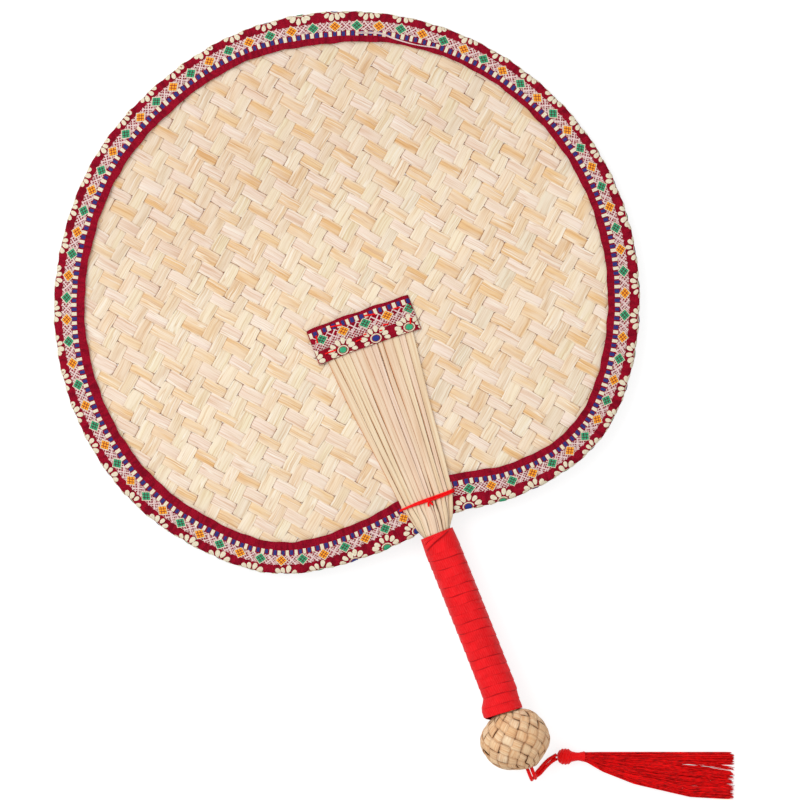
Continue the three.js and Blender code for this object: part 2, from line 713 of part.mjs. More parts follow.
const mouth = fan.localToWorld(new THREE.Vector3(0, ballPole, 0));
const stubs = new THREE.Group();
stubs.position.copy(mouth);
const stubEnd = (x) => [x, -CORD_PIVOT_BELOW_MOUTH, CORD_SPLIT_HEIGHT + GAP - mouth.z];
stubs.add(
  piece("cord_stub_left", makeCordRun([...leftStub, stubEnd(-1)], 6), redThread),
  piece("cord_stub_right", makeCordRun([...rightStub, stubEnd(1)], 6), redThread),
);

const legs = new THREE.Group();
legs.position.set(mouth.x, mouth.y, 0);
const legStart = (x) => [x, -CORD_PIVOT_BELOW_MOUTH, CORD_SPLIT_HEIGHT];
legs.add(
  piece("cord_leg_left", makeCordRun([legStart(-1), ...leftLeg], 11), redThread),
  piece("cord_leg_right", makeCordRun([legStart(1), ...rightLeg], 11), redThread),
);

const tassel = new THREE.Group();
tassel.position.set(mouth.x + HEAD_BESIDE_MOUTH, mouth.y - HEAD_BELOW_MOUTH, 0);
tassel.rotation.z = rad(TASSEL_TURN);
tassel.add(
  piece("tassel_head", makeHead(), redThread),
  piece("tassel_neck", makeNeck(), redThread),
  piece("tassel_upper_lock", makeLock(false), redThread),
  piece("tassel_lower_lock", makeLock(true), redThread),
);

const wovenFan = new THREE.Group();
wovenFan.add(fan, stubs, legs, tassel);

export default wovenFan;
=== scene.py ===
# %% [markdown]
# # A woven reed fan
# The real fan is a round blade of flat reed strips, plaited over two and under two on the slant.
# A woven ribbon is folded over its rim, a sheaf of reeds runs down each face into the handle, red
# tape is wound round the handle, and a plaited straw ball with a tassel closes the end.
# Such a fan could be one disc with a picture of the weave on it. Here each strip is its own closed
# form that dives under its neighbours, because the gaps and crowns of a weave are what the eye
# reads as woven.

# %% Open the frame
import math

import bpy
import numpy as np
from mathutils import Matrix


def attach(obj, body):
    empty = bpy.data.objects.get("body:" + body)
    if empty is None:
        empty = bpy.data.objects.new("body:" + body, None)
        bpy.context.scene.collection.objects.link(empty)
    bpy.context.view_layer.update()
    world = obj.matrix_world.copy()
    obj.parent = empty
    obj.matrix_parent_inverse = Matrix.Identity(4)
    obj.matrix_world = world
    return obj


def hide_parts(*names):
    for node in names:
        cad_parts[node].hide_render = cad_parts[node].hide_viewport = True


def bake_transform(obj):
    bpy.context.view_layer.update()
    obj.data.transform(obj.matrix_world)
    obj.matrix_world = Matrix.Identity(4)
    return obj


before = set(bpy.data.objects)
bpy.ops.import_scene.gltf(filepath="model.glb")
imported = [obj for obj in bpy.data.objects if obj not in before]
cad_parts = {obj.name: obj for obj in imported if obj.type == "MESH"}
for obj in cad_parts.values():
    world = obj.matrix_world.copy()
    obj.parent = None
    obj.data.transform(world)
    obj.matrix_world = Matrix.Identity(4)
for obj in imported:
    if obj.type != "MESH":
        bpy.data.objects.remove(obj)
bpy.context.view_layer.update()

# %% [markdown]
# ## The camera
# The photograph looks straight down on the fan, which lies turned on the table with its handle to
# the lower right. The fan could be turned under an upright camera. The camera is turned instead,
# so that the fan keeps its own straight axes, in which every piece is easier to describe.

# %% Hang the camera over the table
MM = 0.001
PICTURE_WIDTH = 424 * MM
VIEW_TURN = math.radians(-21.5)
VIEW_CENTRE = (7.7 * MM, -4.2 * MM)
LENS = 180.0
FILM_WIDTH = 36.0
BLADE_LEVEL = 0.006

camera_data = bpy.data.cameras.new("view")
camera_data.lens = LENS
camera_data.sensor_width = FILM_WIDTH
camera = bpy.data.objects.new("view", camera_data)
camera.location = (*VIEW_CENTRE, BLADE_LEVEL + PICTURE_WIDTH * LENS / FILM_WIDTH)
camera.rotation_euler = (0.0, 0.0, VIEW_TURN)
bpy.context.collection.objects.link(camera)
bpy.context.scene.camera = camera
bpy.context.scene.view_settings.view_transform = "Standard"
print("Camera height", round(camera.location.z, 3))

# %% [markdown]
# ## Soft light and a pale floor
# The photograph is a catalogue picture on pure white with hardly a shadow. A very bright floor
# would give that white, but it would also bleach the straw from below. So the floor is a plain
# pale grey, and a little glow that only the camera, gloss and glass see lifts it to white. The
# light on the fan stays plain: an even sky and one wide lamp from the upper left.

# %% Lay the floor and hang the lamp
FLOOR_SIZE = 6.0
FLOOR_SHADE = 0.42
FLOOR_LIFT = 0.75
SKY_STRENGTH, SKY_SEEN_STRENGTH = 0.72, 1.0
LAMP_POWER = 13.0
LAMP_SIZE = 1.3
LAMP_PLACE = (-0.75, 0.85, 1.25)


def strength_where_seen(tree, unseen, seen):
    """A strength for the light on other things, and one where camera, gloss or glass looks."""
    path = tree.nodes.new("ShaderNodeLightPath")
    total = path.outputs["Is Camera Ray"]
    for name in ("Is Glossy Ray", "Is Transmission Ray"):
        join = tree.nodes.new("ShaderNodeMath")
        join.operation = "MAXIMUM"
        tree.links.new(total, join.inputs[0])
        tree.links.new(path.outputs[name], join.inputs[1])
        total = join.outputs[0]
    spread = tree.nodes.new("ShaderNodeMapRange")
    tree.links.new(total, spread.inputs["Value"])
    spread.inputs["To Min"].default_value = unseen
    spread.inputs["To Max"].default_value = seen
    return spread.outputs["Result"]


floor_mesh = bpy.data.meshes.new("floor")
half = FLOOR_SIZE / 2
floor_mesh.from_pydata(
    [(-half, -half, 0), (half, -half, 0), (half, half, 0), (-half, half, 0)], [], [(0, 1, 2, 3)])
floor = bpy.data.objects.new("floor", floor_mesh)
bpy.context.collection.objects.link(floor)
floor_paint = bpy.data.materials.new("pale floor")
floor_paint.use_nodes = True
floor_tree = floor_paint.node_tree
floor_tree.nodes.remove(floor_tree.nodes["Principled BSDF"])
matt = floor_tree.nodes.new("ShaderNodeBsdfDiffuse")
matt.inputs["Color"].default_value = (FLOOR_SHADE, FLOOR_SHADE, FLOOR_SHADE, 1)
glow = floor_tree.nodes.new("ShaderNodeEmission")
lift = strength_where_seen(floor_tree, 0, FLOOR_LIFT)
floor_tree.links.new(lift, glow.inputs["Strength"])
both = floor_tree.nodes.new("ShaderNodeAddShader")
floor_tree.links.new(matt.outputs[0], both.inputs[0])
floor_tree.links.new(glow.outputs[0], both.inputs[1])
floor_tree.links.new(both.outputs[0], floor_tree.nodes["Material Output"].inputs["Surface"])
floor_mesh.materials.append(floor_paint)

sky = bpy.data.worlds.new("studio")
sky.use_nodes = True
sky_tree = sky.node_tree
background = sky_tree.nodes["Background"]
background.inputs["Color"].default_value = (1, 1, 1, 1)
sky_light = strength_where_seen(sky_tree, SKY_STRENGTH, SKY_SEEN_STRENGTH)
sky_tree.links.new(sky_light, background.inputs["Strength"])
bpy.context.scene.world = sky

lamp_data = bpy.data.lights.new("wide lamp", "AREA")
lamp_data.size = LAMP_SIZE
lamp_data.energy = LAMP_POWER
lamp = bpy.data.objects.new("wide lamp", lamp_data)
lamp.location = LAMP_PLACE
bpy.context.collection.objects.link(lamp)
lamp.rotation_euler = lamp.location.to_track_quat("Z", "Y").to_euler()
print("Sky", SKY_STRENGTH, "lamp", LAMP_POWER, "W")

# %% [markdown]
# ## Two ways of measuring places
# The fan leans a little, because the ball under its handle is thicker than the blade. Its pieces
# are easier to plan on the flat blade, in millimetres, with nought where the handle meets the
# blade. One function turns such a place into the table's metres. Another does the same for the
# tassel, which lies on the table beside the ball.

# %% Turn a place on the fan into a place on the table
FAN_LEAN = math.radians(-2.268198)
FAN_SEAT = np.array((-0.00355, -71.53448, 12.63110))
MOUTH = np.array((0.0, -209.41277, 18.0922))
TASSEL_SEAT = np.array((16.0, -210.71277, 0.0))
TASSEL_TURN = math.radians(-21.5)


def turned(first, second, angle):
    """Two coordinates after a turn in their plane."""
    c, s = math.cos(angle), math.sin(angle)
    return c * first - s * second, s * first + c * second


def on_fan(points):
    x, y, z = np.moveaxis(np.asarray(points, float), -1, 0)
    return (np.stack((x, *turned(y, z, FAN_LEAN)), -1) + FAN_SEAT) * MM


def beside_ball(points):
    x, y, z = np.moveaxis(np.asarray(points, float), -1, 0)
    return (np.stack((*turned(x, y, TASSEL_TURN), z), -1) + TASSEL_SEAT) * MM


def on_table(points):
    return np.asarray(points, float) * MM


print("The fan's top on the table:", on_fan([0, 280, 0]).round(4))

# %% [markdown]
# ## Many closed forms in one mesh
# Strips, threads, petals and beads are all made the same way: a row of rings of points, with a
# skin over them and a lid at each end. Blender's curves could give round cords, but not a flat
# strip whose section changes as it dives. Every point also keeps three numbers named `lie`: how
# far along and across its strip it lies, and one number of chance for the whole strip. The
# finishes read them, so that grain follows each strip and no two strips have one colour. Plaited
# strips keep a fourth number, `shade`, which is high where a strip dives under another. The
# finishes turn it into painted shade, a darker tint of the strip.

# %% Skin rings of points into a mesh
class Bundle:
    """Closed forms that are gathered into one mesh."""

    def __init__(self):
        self.points, self.faces, self.lies, self.shades, self.count = [], [], [], [], 0

    def skin(self, rings, along=0, across=0, chance=0, shade=None, looped=False):
        """A skin over rings of points, which is (rings, points in a ring, 3)."""
        rings = np.asarray(rings, float)
        steps, sides = shape = rings.shape[:2]
        index = np.arange(steps * sides).reshape(shape)
        ahead = np.roll(index, -1, axis=0)
        if not looped:
            index, ahead = index[:-1], ahead[:-1]
        quads = np.stack(
            (index, np.roll(index, -1, 1), np.roll(ahead, -1, 1), ahead), -1).reshape(-1, 4)
        flat = rings.reshape(-1, 3)
        faces = quads.tolist()
        if not looped:
            faces.append(list(range(sides))[::-1])
            faces.append(list(range((steps - 1) * sides, steps * sides)))
        middle = flat.mean(0)
        a, b, c, d = (flat[quads[:, k]] - middle for k in range(4))
        outward = (a * np.cross(b, c)).sum() + (a * np.cross(c, d)).sum()
        if outward < 0:
            faces = [face[::-1] for face in faces]
        self.faces += [[k + self.count for k in face] for face in faces]
        self.points.append(flat)
        lie = [np.broadcast_to(number, shape) for number in (along, across, chance)]
        self.lies.append(np.stack(lie, -1).reshape(-1, 3))
        if shade is not None:
            self.shades.append(np.broadcast_to(shade, shape).ravel())
        self.count += len(flat)

    def mesh(self, name, place, crease):
        mesh = bpy.data.meshes.new(name)
        mesh.from_pydata(place(np.concatenate(self.points)).tolist(), [], self.faces)
        lie = mesh.attributes.new("lie", "FLOAT_VECTOR", "POINT")
        lie.data.foreach_set("vector", np.concatenate(self.lies).astype(np.float32).ravel())
        if self.shades:
            shade = mesh.attributes.new("shade", "FLOAT", "POINT")
            shade.data.foreach_set("value", np.concatenate(self.shades).astype(np.float32))
        mesh.shade_smooth()
        mesh.set_sharp_from_angle(angle=math.radians(crease))
        return mesh


def add_piece(name, bundle, finish, place=on_fan, body="fan", nodes=(), crease=50):
    """One object of a bundle's forms, which moves with its body and stands for CAD nodes."""
    piece = bpy.data.objects.new(name, bundle.mesh(name, place, crease))
    bpy.context.collection.objects.link(piece)
    piece.data.materials.append(finish)
    if body:
        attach(piece, body)
    if nodes:
        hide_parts(*nodes)
    print(f"{name}: {len(piece.data.polygons)} faces")
    return piece


# %% [markdown]
# A cord or thread is a ring carried along a line. A ring that is simply kept upright would twist
# where the line drops straight down, so each ring is turned from the last one by as little as the
# line allows. Flat strips need a section that runs over one face and back over the other.

# %% Carry a ring along a line
SPLINE_STEPS = 24


def smooth_line(knots, spacing):
    """Points about spacing apart on a smooth line through the knots, and the run to each."""
    knots = np.asarray(knots, float)
    ends = np.concatenate(([2 * knots[0] - knots[1]], knots, [2 * knots[-1] - knots[-2]]))
    share = np.linspace(0, 1, SPLINE_STEPS, endpoint=False)[:, None]
    line = []
    for p, q, r, s in zip(ends, ends[1:], ends[2:], ends[3:]):
        line.append(q + 0.5 * share * (r - p + share * (2 * p - 5 * q + 4 * r - s
                    + share * (3 * (q - r) + s - p))))
    line = np.concatenate(line + [knots[-1:]])
    run = run_along(line)
    even = np.linspace(0, run[-1], max(int(run[-1] / spacing), 2) + 1)
    return np.stack([np.interp(even, run, line[:, k]) for k in range(3)], 1), even


def run_along(line):
    """How far each point of a line lies from its start."""
    return np.concatenate(([0], np.cumsum(np.linalg.norm(np.diff(line, axis=0), axis=1))))


def around(sides):
    """The angles of the points of a ring."""
    return np.arange(sides) * 2 * math.pi / sides


def carried_rings(line, radius, sides, start_up=(0, 0, 1)):
    """Rings round a line; radius is one number, one for each ring, or one for each point."""
    ahead = np.gradient(line, axis=0)
    ahead /= np.linalg.norm(ahead, axis=1)[:, None]
    up = np.array(start_up, float)
    ups = []
    for direction in ahead:
        up = up - direction * (up @ direction)
        up /= np.linalg.norm(up)
        ups.append(up)
    ups = np.array(ups)
    rights = np.cross(ahead, ups)
    angle, reach = around(sides), np.broadcast_to(radius, (len(line), sides))
    return (line[:, None] + (reach * np.cos(angle))[..., None] * rights[:, None]
            + (reach * np.sin(angle))[..., None] * ups[:, None])


def there_and_back(*places):
    """The places across a flat section, over one face and back over the other."""
    return np.array(places + places[::-1])


def read_rows(rows, at):
    """What each further column of a table says where its first column reaches a value."""
    return [np.interp(at, rows[:, 0], column) for column in rows[:, 1:].T]


# %% [markdown]
# ## A maker for finishes
# Each finish is a Principled shader whose colour, roughness and bump come from nodes. Written out
# one by one, the nodes would fill pages, so a small class adds them and joins them up.

# %% Add shader nodes in few words
def dye(red, green, blue):
    """A colour as read off a screen, 0 to 255, as the linear values that the nodes use."""
    return tuple(
        v / 12.92 if v <= 0.04045 else ((v + 0.055) / 1.055) ** 2.4
        for v in (red / 255, green / 255, blue / 255)) + (1.0,)


class Finish:
    """A material and the nodes that colour it."""

    def __init__(self, name, **sockets):
        self.material = bpy.data.materials.new(name)
        self.material.use_nodes = True
        self.tree = self.material.node_tree
        self.shader = self.tree.nodes["Principled BSDF"]
        for socket, value in sockets.items():
            self.shader.inputs[socket.replace("_", " ")].default_value = value
        self.lie = self.node("Attribute", attribute_name="lie").outputs["Vector"]
        self.along, self.across, self.chance = self.node("SeparateXYZ", self.lie).outputs

    def node(self, kind, *values, **settings):
        """A node with its settings, whose first sockets take the values."""
        node = self.tree.nodes.new("ShaderNode" + kind)
        for name, setting in settings.items():
            setattr(node, name, setting)
        for socket, value in zip(node.inputs, values):
            self.feed(socket, value)
        return node

    def feed(self, socket, value):
        if isinstance(value, bpy.types.NodeSocket):
            self.tree.links.new(value, socket)
        else:
            socket.default_value = value

    def math(self, operation, *values):
        return self.node("Math", *values, operation=operation).outputs[0]

    def times(self, value, factor):
        return self.math("MULTIPLY", value, factor)

    def wave(self, value, length):
        return self.math("SINE", self.times(value, 2 * math.pi / length))

    def noise(self, stretch, detail, at=None):
        """Noise at the lie or another place, after its three numbers have been stretched."""
        place = self.node("VectorMath", at or self.lie, stretch, operation="MULTIPLY")
        node = self.node("TexNoise", place.outputs[0])
        node.inputs["Scale"].default_value = 1.0
        node.inputs["Detail"].default_value = detail
        return node.outputs["Fac"]

    def ramp(self, value, *stops):
        """Stops are (place, colour or grey); the colour blends from stop to stop."""
        node = self.node("ValToRGB", value)
        bar = node.color_ramp
        while len(bar.elements) < len(stops):
            bar.elements.new(0.5)
        for element, (place, shade) in zip(bar.elements, stops):
            element.position = place
            element.color = shade if isinstance(shade, tuple) else (shade, shade, shade, 1)
        return node.outputs["Color"]

    def mix(self, share, first, second, blend="MIX"):
        node = self.node("Mix", share, data_type="RGBA", blend_type=blend)
        for k, value in ((6, first), (7, second)):
            self.feed(node.inputs[k], value)
        return node.outputs[2]

    def tinted(self, colour, tint, value, *stops):
        """The colour with a tint over it, by as much as the value's ramp says."""
        return self.mix(self.ramp(value, *stops), colour, dye(*tint))

    def painted_shade(self, colour, tint):
        """The colour with a painted shade tint over it where the form's shade is high."""
        shade = self.node("Attribute", attribute_name="shade").outputs["Fac"]
        return self.mix(shade, colour, dye(*tint))

    def made(self, colour, height, distance, strength=0.5, rough=None):
        """The material in its colour, with a bump of a height that is worth a distance."""
        self.feed(self.shader.inputs["Base Color"], colour)
        if rough:
            self.feed(self.shader.inputs["Roughness"], rough)
        node = self.node("Bump")
        self.feed(node.inputs["Height"], height)
        node.inputs["Distance"].default_value = distance
        node.inputs["Strength"].default_value = strength
        self.tree.links.new(node.outputs[0], self.shader.inputs["Normal"])
        return self.material


print("Finishes read the attribute named lie")

# %% [markdown]
# ## Dyed thread
# Cord, ties and tassel are rayon thread, a bright red with a soft gloss. Fine lengthwise noise
# stands for the fibres, and the strands that lie low in the skirt are darker by painted shade.

# %% Dye the thread and the cord
def thread_finish(name, bright, deep, painted_shade_share):
    finish = Finish(name, Roughness=0.38, Specular_IOR_Level=0.16)
    fibres = finish.noise((0.35, 9.0, 7.0), 4.0)
    colour = finish.ramp(fibres, (0.3, dye(*deep)), (0.6, dye(*bright)))
    # Painted shade: where the strand's chance is low, the thread blends towards its deep red.
    colour = finish.tinted(colour, deep, finish.chance, (0.0, painted_shade_share), (0.5, 0.0))
    return finish.made(colour, fibres, 0.0002)


cord_red = thread_finish("red cord", (255, 8, 12), (230, 2, 8), 0.0)
silk_red = thread_finish("red thread", (255, 6, 10), (144, 0, 2), 1.0)
print("Two reds for cord and thread")

# %% [markdown]
# ## The doubled cord
# The tassel hangs on one cord that is doubled through the ball's mouth, so two legs come out.
# Each leg leaves straight along the fan, bends down over the ball's edge, lands on the table and
# runs to the tassel's head. They are the first pieces made, because their room on the table is
# checked. The hinge of the tassel is the upright stretch of the drop, and each leg is one tube
# that runs from the fan to the tassel. The section has three lobes that turn along it, as three
# twisted strands have.

# %% Run the two legs of the cord
CORD_DIAMETER = 1.95
CORD_SIDES, CORD_SPACING = 15, 0.22
CORD_STRANDS = 3
STRAND_TURN_LENGTH = 4.2
STRAND_DEPTH = 0.13
CORD_ROUTES = {
    "left": [
        (-1.1, 2.5, 18.09), (-1.1, 0, 18.09), (-1.1, -2.4, 17.99), (-1.08, -4.8, 17.19),
        (-1.03, -6.5, 15.19), (-1, -7, 11.3), (-1, -7, 8.2), (-0.9, -7.1, 5.6), (-0.2, -7.4, 3),
        (1.65, -7.25, 1.45), (4.35, -6.6, 1.3), (7.05, -5.2, 1.3), (10.05, -3.8, 1.6),
        (12.7, -2.85, 2.7), (15.1, -2.3, 3.9)],
    "right": [
        (1.1, 2.5, 18.09), (1.1, 0, 18.09), (1.1, -2.2, 17.99), (1.08, -4.6, 17.19),
        (1.03, -6.3, 15.19), (1, -7, 11.3), (1, -7, 8.2), (1.2, -6.8, 5.6), (2, -6, 3),
        (3.2, -5.2, 1.45), (5.5, -4.0, 1.3), (8.3, -2.55, 1.3), (11.2, -1.35, 1.6),
        (13.6, -0.8, 2.7), (15.8, -0.3, 3.8)],
}
PATH_STRIDE = 6
cords = {}
for side, route in CORD_ROUTES.items():
    line, run = smooth_line(np.array(route) + (0, MOUTH[1], 0), CORD_SPACING)
    twist = run[:, None] * 2 * math.pi / STRAND_TURN_LENGTH
    strand = CORD_STRANDS / 2 * (around(CORD_SIDES) - twist)
    lobes = CORD_DIAMETER / 2 * (1 - STRAND_DEPTH * (1 - np.abs(np.cos(strand))))
    bundle = Bundle()
    bundle.skin(carried_rings(line, lobes, CORD_SIDES, (1, 0, 0)), run[:, None], strand / math.pi)
    cord = add_piece(f"cord_{side}", bundle, cord_red, place=on_table, body=None,
                     nodes=(f"cord_stub_{side}", f"cord_leg_{side}"))
    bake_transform(cord)
    cords[side] = (cord, line[::PATH_STRIDE], float(run[-1]) * MM)
    print(side, "leg is", round(run[-1], 1), "mm long")

# %% [markdown]
# ## The tassel
# A tassel is a knotted head, a neck bound with thread, and a skirt of loose strands. The head
# and neck are turned forms whose winding is a ridge that runs round them. A skirt could be one
# lofted lock with a hair texture, but its ends would look cut from a block, so some hundreds of
# thin strands are laid through the room that the locks hold, each with its own wander.

# %% Wind the head and the neck
HEAD_LENGTH, HEAD_RADIUS = 8.3, 4.35
NECK_START, NECK_LENGTH, NECK_RADIUS = 7.2, 7.4, 2.4
HEAD_PITCH, NECK_PITCH = 1.7, 0.78
TASSEL_AXIS_HEIGHT = 4.6
WOUND_SIDES, WOUND_SPACING = 40, 0.16


def wind(name, node, start, length, outline, pitch, depth, slant):
    """A turned form of the tassel, with the ridges of a thread that is wound round it."""
    along = np.linspace(0, length, int(length / WOUND_SPACING) + 1)[:, None]
    angle = around(WOUND_SIDES)
    phase = along / pitch + slant * angle / (2 * math.pi)
    ridge = 1 - depth * (1 - np.abs(np.sin(math.pi * phase)))
    radius = outline(along / length) * ridge
    bundle = Bundle()
    bundle.skin(np.stack((np.broadcast_to(along + start, radius.shape), radius * np.cos(angle),
                          radius * np.sin(angle) + TASSEL_AXIS_HEIGHT), -1), angle * 4, phase)
    return add_piece(name, bundle, cord_red, place=beside_ball, body="tassel", nodes=(node,),
                     crease=70)


def head_outline(share):
    return HEAD_RADIUS * (1 - np.abs(2 * share - 1) ** 3.2 * 0.62)


def neck_outline(share):
    return NECK_RADIUS * (1.07 + 0.12 * np.cos(2 * math.pi * share))


head_piece = wind("tassel_knot", "tassel_head", 0, HEAD_LENGTH, head_outline, HEAD_PITCH, 0.14, 4)
neck_piece = wind("tassel_binding", "tassel_neck", NECK_START, NECK_LENGTH, neck_outline,
                  NECK_PITCH, 0.08, 1)

for side, (cord, path, length) in cords.items():
    tuple(on_table((-1.1 if side == "left" else 1.1, MOUTH[1], MOUTH[2])))
    on_table(path).tolist()
print("Each leg ends in the tassel's knot")

# %% Lay the strands of the skirt
SKIRT_START, SKIRT_LENGTH, SKIRT_TOP = 14.4, 80.0, 2.4
SKIRT_EDGE = 0.3
STRANDS_IN_A_LOCK, CLUMPS_IN_A_LOCK = 280, 10
STRAND_STEPS, STRAND_SIDES, STRAND_RADIUS = 30, 5, 0.2
STRAND_TIP = 0.03
STRAY_SHARE = 0.3
LOCK_PARTING, PARTING_START, PARTING_RUN = 1.1, 0.84, 0.16
SKIRT_STATIONS = np.array([
    # share, parting, lower edge, half depth, drop on the table
    (0.0, 0.5, -2.4, 2.2, 0.0), (0.12, -0.5, -8.1, 2.6, 0.8), (0.33, -1.8, -14.7, 2.6, 1.0),
    (0.7, -3.2, -21.6, 2.4, 1.0), (1.0, -5.0, -23.0, 1.9, 1.0)])
skirt_chance = np.random.default_rng(11)


def draw_clump(k):
    """A clump's middle across and through its lock, and its own pace, phase and tone."""
    across = (k + 0.5 + skirt_chance.uniform(-0.2, 0.2)) / CLUMPS_IN_A_LOCK
    return across, skirt_chance.uniform(-0.45, 0.5), *skirt_chance.random(3)


def lay_strand(bundle, lock, number, clump):
    """One strand of a lock, which keeps near its clump but wanders, and ends thin."""
    middle, level, pace, phase, tone = clump
    reach = 1 - 0.03 * skirt_chance.random() - 0.02 * tone
    share = np.linspace(-0.012, reach, STRAND_STEPS)
    parting, lower, depth, drop = read_rows(SKIRT_STATIONS, np.clip(share, 0, 1))
    height = TASSEL_AXIS_HEIGHT + (depth * 1.07 + 0.3 - TASSEL_AXIS_HEIGHT) * drop
    apart = np.clip((share - PARTING_START) / PARTING_RUN, 0, 1) ** 1.6
    spread = LOCK_PARTING * apart - 0.6 * (share < PARTING_START)
    high, low = SKIRT_TOP - SKIRT_EDGE, parting + spread * 0.5
    if lock == "lower":
        high, low = parting - spread, lower + SKIRT_EDGE
    angle, pull = skirt_chance.random() * 2 * math.pi, math.sqrt(skirt_chance.random())
    stray = skirt_chance.random() < STRAY_SHARE
    across = middle + (0.3 if stray else 0.066) * pull * math.cos(angle)
    lift = level + (0.5 if stray else 0.38) * pull * math.sin(angle)
    wander = (0.045 * np.sin(share * (4 + 4 * pace) + 9 * phase)
              + 0.014 * np.sin(share * 9 + 9 * skirt_chance.random()))
    swell = 0.14 * np.sin(share * (5 + 7 * phase) + 9 * pace)
    across = np.clip(across + wander * share, 0, 1)
    line = np.stack((SKIRT_START + share * SKIRT_LENGTH, low + (high - low) * across,
                     height + depth * np.clip(lift + swell * share, -0.9, 0.9)), 1)
    tip = np.clip((share - reach + STRAND_TIP) / STRAND_TIP, 0, 1)
    radius = STRAND_RADIUS * (1 - 0.5 * tip)[:, None]
    # How low the strand lies in the skirt sets its painted shade, with some random tone added.
    painted_light_and_tone = np.clip(0.5 * (lift + 0.75) + 0.4 * tone, 0, 1)
    bundle.skin(carried_rings(line, radius, STRAND_SIDES), line[:, :1], number * 0.7, painted_light_and_tone)


for lock in ("upper", "lower"):
    bundle = Bundle()
    clumps = [draw_clump(k) for k in range(CLUMPS_IN_A_LOCK)]
    for number in range(STRANDS_IN_A_LOCK):
        lay_strand(bundle, lock, number, clumps[number % CLUMPS_IN_A_LOCK])
    add_piece(f"tassel_skirt_{lock}", bundle, silk_red, place=beside_ball, body="tassel",
              nodes=(f"tassel_{lock}_lock",), crease=80)

# %% [markdown]
# ## The blade's outline
# The rim is nearly a circle that is cut flatter towards the handle, with a small notch beside
# the neck and a rounder corner on the left. One formula gives its distance from the centre for
# every direction, and both the strips and the ribbon are measured from it.

# %% Draw the outline once
BLADE_RADIUS, BLADE_FLAT_REACH, BLADE_CORNER_POWER = 155.0, 130.5, 14
OUTLINE_DIPS = [
    # depth, then middle and spread in degrees from the handle's direction
    (5.14, 5, 10), (3.7, -47, 16), (-0.9, 95, 22), (1.4, 200, 16), (0.9, 233, 14)]


def outline_radius(turn):
    flat = np.maximum(np.cos(turn), 0) / BLADE_FLAT_REACH
    total = flat ** BLADE_CORNER_POWER + BLADE_RADIUS ** -BLADE_CORNER_POWER
    radius = total ** (-1 / BLADE_CORNER_POWER)
    for depth, middle, spread in OUTLINE_DIPS:
        away = turn - math.radians(middle)
        away = np.arctan2(np.sin(away), np.cos(away)) / math.radians(spread)
        radius = radius - depth * np.exp(-away * away)
    return radius


BLADE_CENTRE = float(outline_radius(np.array(0.0)))


def inside_blade(x, y, margin):
    """True where a point lies further than margin inside the outline."""
    dx, dy = x, y - BLADE_CENTRE
    return np.hypot(dx, dy) < outline_radius(np.arctan2(dx, -dy)) - margin


print("The blade's centre is", round(BLADE_CENTRE, 2), "mm above the neck")

# %% [markdown]
# ## Reed finish
# Split reed is pale and slightly glossy. Its grain runs along the strip as fine light and dark
# streaks, and each strip has its own tone. A painted highlight makes the edges paler, a split is
# drawn as a thin painted shadow line with a painted highlight beside it, and painted shade darkens
# a strip where it dives. The strips that fall to the right alternate between tan and pale, as in
# the photograph.

# %% Colour the strips
STRIP_EDGE_PLACE = 2.6
REED_ROUGHNESS = ((0.3, 0.62), (0.7, 0.42))


def reed_finish(name, tones, grain_light, grain_dark):
    finish = Finish(name, Roughness=0.5, Specular_IOR_Level=0.35)
    streaks = finish.noise((0.04, 1.5, 31.0), 4.0)
    broad = finish.noise((0.05, 0.3, 17.0), 2.0)
    split = finish.noise((0.012, 0.55, 57.0), 1.0)
    edge = finish.times(finish.math("ABSOLUTE", finish.across), 1 / STRIP_EDGE_PLACE)
    grain = finish.mix(
        finish.ramp(streaks, (0.34, 0.0), (0.58, 1.0)), dye(*grain_dark), dye(*grain_light))
    colour = finish.mix(0.65, finish.ramp(finish.chance, *tones), grain, "MULTIPLY")
    colour = finish.tinted(colour, (246, 228, 206), broad, (0.4, 0.0), (0.62, 0.5))
    # A lengthwise split: a thin painted shadow line, with a painted highlight on its lip beside it.
    colour = finish.tinted(colour, (206, 160, 116), split, (0.485, 0.0), (0.5, 0.5), (0.515, 0.0))
    colour = finish.tinted(colour, (255, 248, 234), split, (0.51, 0.0), (0.535, 0.6), (0.56, 0.0))
    # Painted highlight: the strip's edges are tinted paler, as if they caught the light.
    colour = finish.tinted(colour, (255, 240, 216), edge, (0.76, 0.0), (0.97, 0.4))
    # Painted shade: a brown tint where the shade attribute is high, mostly where the strip dives.
    colour = finish.painted_shade(colour, (128, 56, 22))
    return finish.made(colour, streaks, 0.0003, rough=finish.ramp(streaks, *REED_ROUGHNESS))


falling_reed = reed_finish(
    "falling reed",
    ((0.0, dye(238, 196, 140)), (0.42, dye(244, 214, 170)), (0.58, dye(243, 220, 202)),
     (1.0, dye(248, 230, 217))),
    (255, 253, 249), (222, 190, 152))
rising_reed = reed_finish(
    "rising reed",
    ((0.0, dye(240, 228, 196)), (0.35, dye(250, 234, 208)), (0.6, dye(242, 214, 182)),
     (0.85, dye(236, 224, 202)), (1.0, dye(238, 204, 160))),
    (255, 252, 246), (220, 188, 150))
print("Reed finishes for both directions")

# %% [markdown]
# ## Weaving the blade
# In this twill each strip passes over two strips and under two, and each neighbour does so one
# strip later, which makes the stepped diagonal. The height of a strip is a smooth wave with flat
# tops, so that it lies flat over two strips and dives quickly. Straight strips of one width look
# printed, so their widths differ a little and the whole weave drifts by a millimetre.

